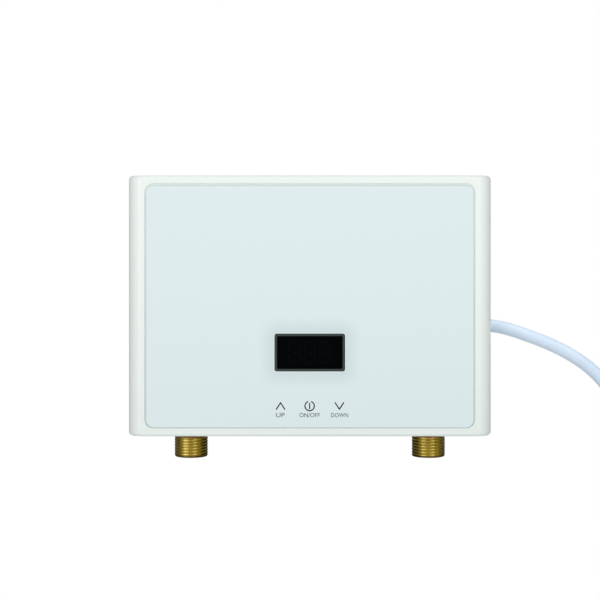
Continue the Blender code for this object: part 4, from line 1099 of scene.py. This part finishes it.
screwSizes = {
    "head": 3.4 * mm, "height": 2.2 * mm, "crown": 1.2 * mm, "shank": 1.5 * mm, "recess": 1.5 * mm,
    "slot": 0.85 * mm, "slotReach": 2.1 * mm, "taper": 0.35, "sides": 40,
}


def makeCaseScrews():
    sizes = screwSizes
    arms = ((sizes["slotReach"], sizes["slot"] / 2), (sizes["slot"] / 2, sizes["slotReach"]))
    for number in range(1, 5):
        node = f"case_screw_{number}"
        low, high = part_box(node)
        length = high.y - low.y
        crown = []
        for step in range(9):
            angle = math.pi / 2 * step / 8
            crown.append((sizes["head"] * math.sin(angle), length - sizes["crown"] * (1 - math.cos(angle))))
        under = length - sizes["height"]
        profile = crown + [
            (sizes["head"], under), (sizes["shank"], under), (sizes["shank"], sizes["shank"]), (0, 0),
        ]
        slots = []
        for across, along in arms:
            # One cutter for each arm, because a cutter that crosses itself leaves nothing
            slot = bmesh.new()
            bmesh.ops.create_cone(
                slot, cap_ends=True, segments=4, radius1=sizes["taper"], radius2=1,
                depth=sizes["recess"] + mm, matrix=Matrix.Rotation(math.radians(45), 4, "Z"),
            )
            bmesh.ops.scale(slot, vec=(across * math.sqrt(2), along * math.sqrt(2), 1), verts=slot.verts)
            bmesh.ops.translate(slot, vec=(0, 0, length + (mm - sizes["recess"]) / 2), verts=slot.verts)
            slots.append(("DIFFERENCE", slot))
        shape = worked(turnedShape(profile, sizes["sides"]), slots)
        turnShape(shape, -90, "X")
        place = ((low.x + high.x) / 2, low.y, (low.z + high.z) / 2)
        bmesh.ops.translate(shape, vec=place, verts=shape.verts)
        screw = settle(f"cross_screw_{number}", shape, "zinc_steel", 35)
        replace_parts(screw, node)


makeHangers()
makeCaseScrews()
print("back fitted")


# Plug: ribbed relief, fluted grip, earth contacts and two round pins

plugSizes = {
    "radius": 18.5 * mm, "shoulder": 6 * mm, "edge": 1.5 * mm, "length": 36 * mm, "reliefLength": 24 * mm,
    "reliefTop": 5.8 * mm, "reliefRoot": 8.5 * mm, "reliefEdge": 0.6 * mm, "firstRib": 3 * mm,
    "rib": 3.4 * mm, "ribDepth": 0.7 * mm, "ribs": 5,
    "ribForm": ((0, 0), (0.12, 0.6), (0.25, 1), (0.38, 0.6), (0.5, 0)),
    "flutes": 7, "fluteStep": 9, "fluteRadius": 1.1 * mm, "fluteOut": 0.45 * mm, "fluteFoot": 4 * mm,
    "fluteLength": 17 * mm, "earthWidth": 7.4 * mm, "earthDepth": 1.9 * mm, "earthLength": 21 * mm,
    "contactSide": 1.2 * mm, "contactProud": 0.7 * mm, "contactSink": 0.05 * mm, "contactFoot": 0.6 * mm,
    "contactEdge": 0.2 * mm, "pinSink": 1.2 * mm, "pinRim": 3.6 * mm, "pinSpare": 0.3 * mm, "pinTip": 0.55,
    "strapEdge": 0.35 * mm,
}


def plugProfile(length):
    # From the middle of the relief's top down to the face, heights counted up from the face
    sizes = plugSizes
    relief, edge = sizes["reliefLength"], sizes["reliefEdge"]
    profile = [(0, length), (sizes["reliefTop"] - edge, length), (sizes["reliefTop"], length - edge)]
    for number in range(sizes["ribs"]):
        start = sizes["firstRib"] + number * sizes["rib"]
        for share, dip in sizes["ribForm"]:
            fall = start + share * sizes["rib"]
            slope = sizes["reliefTop"] + (sizes["reliefRoot"] - sizes["reliefTop"]) * fall / relief
            profile.append((slope - dip * sizes["ribDepth"], length - fall))
    profile.append((sizes["reliefRoot"], length - relief))
    radius, shoulder, edge = sizes["radius"], sizes["shoulder"], sizes["edge"]
    profile += arcPoints((radius - shoulder, length - relief - edge - shoulder), shoulder, 90, 0, 10)
    profile += arcPoints((radius - edge, edge), edge, 0, -90)
    profile.append((0, 0))
    return profile


def makePlug():
    sizes = plugSizes
    low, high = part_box("plug_body")
    x, y = (low.x + high.x) / 2, (low.y + high.y) / 2
    flutes = bmesh.new()
    reach = sizes["radius"] + sizes["fluteOut"]
    foot = sizes["fluteFoot"]
    head = foot + sizes["fluteLength"]
    for side in (0, 180):
        for number in range(sizes["flutes"]):
            angle = math.radians(side + (number - (sizes["flutes"] - 1) / 2) * sizes["fluteStep"])
            centre = (reach * math.cos(angle), reach * math.sin(angle))
            addRod(flutes, (*centre, foot), (*centre, head), sizes["fluteRadius"], sides=16)
    earths = bmesh.new()
    contacts = bmesh.new()
    for way in (-1, 1):
        face = way * (sizes["radius"] + mm)
        floor = way * (sizes["radius"] - sizes["earthDepth"])
        half = sizes["earthWidth"] / 2
        head = sizes["earthLength"]
        addBox(earths, (-half, min(face, floor), -mm), (half, max(face, floor), head))
        strip, sunk = floor + way * sizes["contactProud"], floor + way * sizes["contactSink"]
        half -= sizes["contactSide"]
        foot = sizes["contactFoot"]
        addBox(contacts, (-half, min(strip, sunk), foot), (half, max(strip, sunk), head - mm))
    wells = bmesh.new()
    for side in (-1, 1):
        centre = side * (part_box("plug_pin_right")[0].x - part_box("plug_pin_left")[0].x) / 2
        addRod(wells, (centre, 0, -mm), (centre, 0, sizes["pinSink"]), sizes["pinRim"], sides=32)
    shape = worked(turnedShape(plugProfile(high.z - low.z), 96), [
        ("DIFFERENCE", flutes), ("DIFFERENCE", earths), ("DIFFERENCE", wells),
    ])
    bmesh.ops.translate(shape, vec=(x, y, low.z), verts=shape.verts)
    body = settle("plug_moulding", shape, "plug_plastic", 32)
    litAlone["pale_lead"].objects.link(body)
    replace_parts(body, "plug_body")
    bmesh.ops.translate(contacts, vec=(x, y, low.z), verts=contacts.verts)
    roundOff(contacts, lambda middle: True, sizes["contactEdge"], 2)
    settle("earth_contacts", contacts, "brass", 35)
    for side in ("left", "right"):
        node = f"plug_pin_{side}"
        low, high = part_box(node)
        radius = (high.x - low.x) / 2
        length = high.z - low.z + sizes["pinSink"] - sizes["pinSpare"]
        tip = radius * sizes["pinTip"]
        profile = [(0, 0), (radius - tip, 0)] + arcPoints((radius - tip, tip), tip, -90, 0)[1:]
        pin = turnedShape(profile + [(radius, length), (0, length)], 48, ((low.x + high.x) / 2, y, low.z))
        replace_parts(settle(f"round_pin_{side}", pin, "brass", 35), node)


def makeTie():
    shape = mergedCopy("cord_tie")
    roundOff(shape, lambda middle: True, plugSizes["strapEdge"], 2)
    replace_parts(settle("hank_strap", shape, "black_rubber", 40), "cord_tie")


makePlug()
makeTie()
print("plug and strap made")


# Every other solid is welded and smoothed as it is

def smoothRest():
    done = 0
    for node in slotOf:
        if node in finerNodes:
            continue
        body = {"flow_impeller": "impeller", "reset_button": "reset"}.get(node, heater)
        piece = dress(f"{node}_smooth", mergedCopy(node), slotOf[node], 30, body)
        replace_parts(piece, node)
        done += 1
    return done


finerNodes = {
    "front_cover", "back_shell", "glass_panel", "display_frame", "display_lens", "inlet_fitting",
    "outlet_fitting", "hanger_plate_left", "hanger_plate_right", "case_screw_1", "case_screw_2",
    "case_screw_3", "case_screw_4", "plug_body", "plug_pin_left", "plug_pin_right", "cord_tie", "cord_run",
    "cord_hank", "cord_tail",
}
print("inner pieces smoothed:", smoothRest())


# Mains lead: one curve from the case to the plug, along the route that the solids take

leadSizes = {
    "diameter": 8.2 * mm, "exit": (112.5 * mm, -18.4 * mm, -13.2 * mm), "length": 1.68,
    "route": [
        (117.5, -13.4), (124.5, -14.6), (134.7, -17.7), (152.1, -24.3), (167.0, -31.8),
        (180.0, -41.0), (190.5, -52.5), (198.5, -66.5), (202.5, -79.0), (203.0, -86.0),
    ],
    "perSpan": 16, "step": 4 * mm, "fall": 1.5, "hankRun": 123 * mm, "pinch": 12 * mm, "turns": 3,
    "least": 25 * mm, "pitch": 9.6 * mm, "layer": 9.2 * mm, "perTurn": 120, "tail": 45 * mm, "sides": 10,
}


def curvePoint(before, first, second, after, share):
    # Catmull-Rom, the usual curve through four points
    values = []
    for a, b, c, d in zip(before, first, second, after):
        bend = 2 * b + (c - a) * share + (2 * a - 5 * b + 4 * c - d) * share ** 2
        values.append((bend + (3 * b - a - 3 * c + d) * share ** 3) / 2)
    return tuple(values)


def evenly(points, step):
    lengths = [0]
    for first, second in zip(points, points[1:]):
        lengths.append(lengths[-1] + math.dist(first, second))
    count = max(2, round(lengths[-1] / step))
    even = []
    place = 0
    for number in range(count + 1):
        wanted = lengths[-1] * number / count
        while place < len(points) - 2 and lengths[place + 1] < wanted:
            place += 1
        share = (wanted - lengths[place]) / (lengths[place + 1] - lengths[place])
        even.append(tuple(Vector(points[place]).lerp(Vector(points[place + 1]), min(1, share))))
    return even


def shownRun():
    sizes = leadSizes
    y = sizes["exit"][1]
    through = [(x * mm, y, z * mm) for x, z in sizes["route"]]
    through[0] = (through[0][0], y, sizes["exit"][2])
    ends = [sizes["exit"], sizes["exit"], *through, (through[-1][0], y, through[-1][2] - sizes["diameter"])]
    points = []
    count = sizes["perSpan"]
    for four in zip(ends, ends[1:], ends[2:], ends[3:]):
        points += [curvePoint(*four, number / count) for number in range(count)]
    return points + [through[-1]]


def loopPoint(phase, run, width):
    # Down the left run, round the bottom fold, up the right run and round the top fold
    sizes = leadSizes
    side = -1 if phase < 0.5 else 1
    share = (phase % 0.5) / run
    if share <= 1:
        drawn = sizes["pinch"] * math.sin(math.pi * share) ** 2
        down = share if side < 0 else 1 - share
        return side * (width - drawn), -sizes["hankRun"] * down
    angle = math.pi * (phase % 0.5 - run) / (0.5 - run)
    end = -sizes["hankRun"] if side < 0 else 0
    return side * width * math.cos(angle), end + side * width * math.sin(angle)


def hankLoops(top):
    # Loops that spiral in and out again in two layers, the climb along a run at the reversal
    sizes = leadSizes
    fold = math.pi * (sizes["least"] + sizes["pitch"])
    run = sizes["hankRun"] / (2 * sizes["hankRun"] + 2 * fold)
    total = sizes["turns"] + run
    widest = sizes["least"] + sizes["pitch"] * total / 2
    centre = sizes["route"][-1][0] * mm + widest
    count = round(sizes["perTurn"] * total)
    path = []
    for number in range(count + 1):
        turn = total * number / count
        x, z = loopPoint(turn % 1, run, widest - sizes["pitch"] * min(turn, total - turn))
        climb = min(1, max(0, (turn - sizes["turns"] / 2) / run))
        climb = climb * climb * (3 - 2 * climb)
        path.append((centre + x, sizes["exit"][1] - sizes["layer"] * climb, top + z))
    return path


def layLead():
    sizes = leadSizes
    shown = shownRun()
    top = shown[-1][2] - sizes["fall"] * sizes["diameter"] - seatGap
    loops = hankLoops(top)
    last = loops[-1]
    tailEnd = (last[0], last[1], last[2] - sizes["diameter"] - 2 * seatGap - sizes["tail"])
    points = evenly(shown + loops + [tailEnd], sizes["step"])
    curve = bpy.data.curves.new("mains_lead", "CURVE")
    curve.dimensions = "3D"
    curve.bevel_depth = sizes["diameter"] / 2
    curve.bevel_resolution = sizes["sides"]
    curve.use_fill_caps = True
    spline = curve.splines.new("POLY")
    spline.points.add(len(points) - 1)
    for point, place in zip(spline.points, points):
        point.co = (*place, 1)
    spline.use_smooth = True
    curve.materials.append(finishes["cord_sheath"])
    lead = bpy.data.objects.new("mains_lead", curve)
    bpy.context.scene.collection.objects.link(lead)
    litAlone["pale_lead"].objects.link(lead)
    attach(lead, heater)
    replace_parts(lead, "cord_run", "cord_hank", "cord_tail")
    return lead, points


lead, leadPoints = layLead()
print("lead laid:", len(leadPoints), "points")
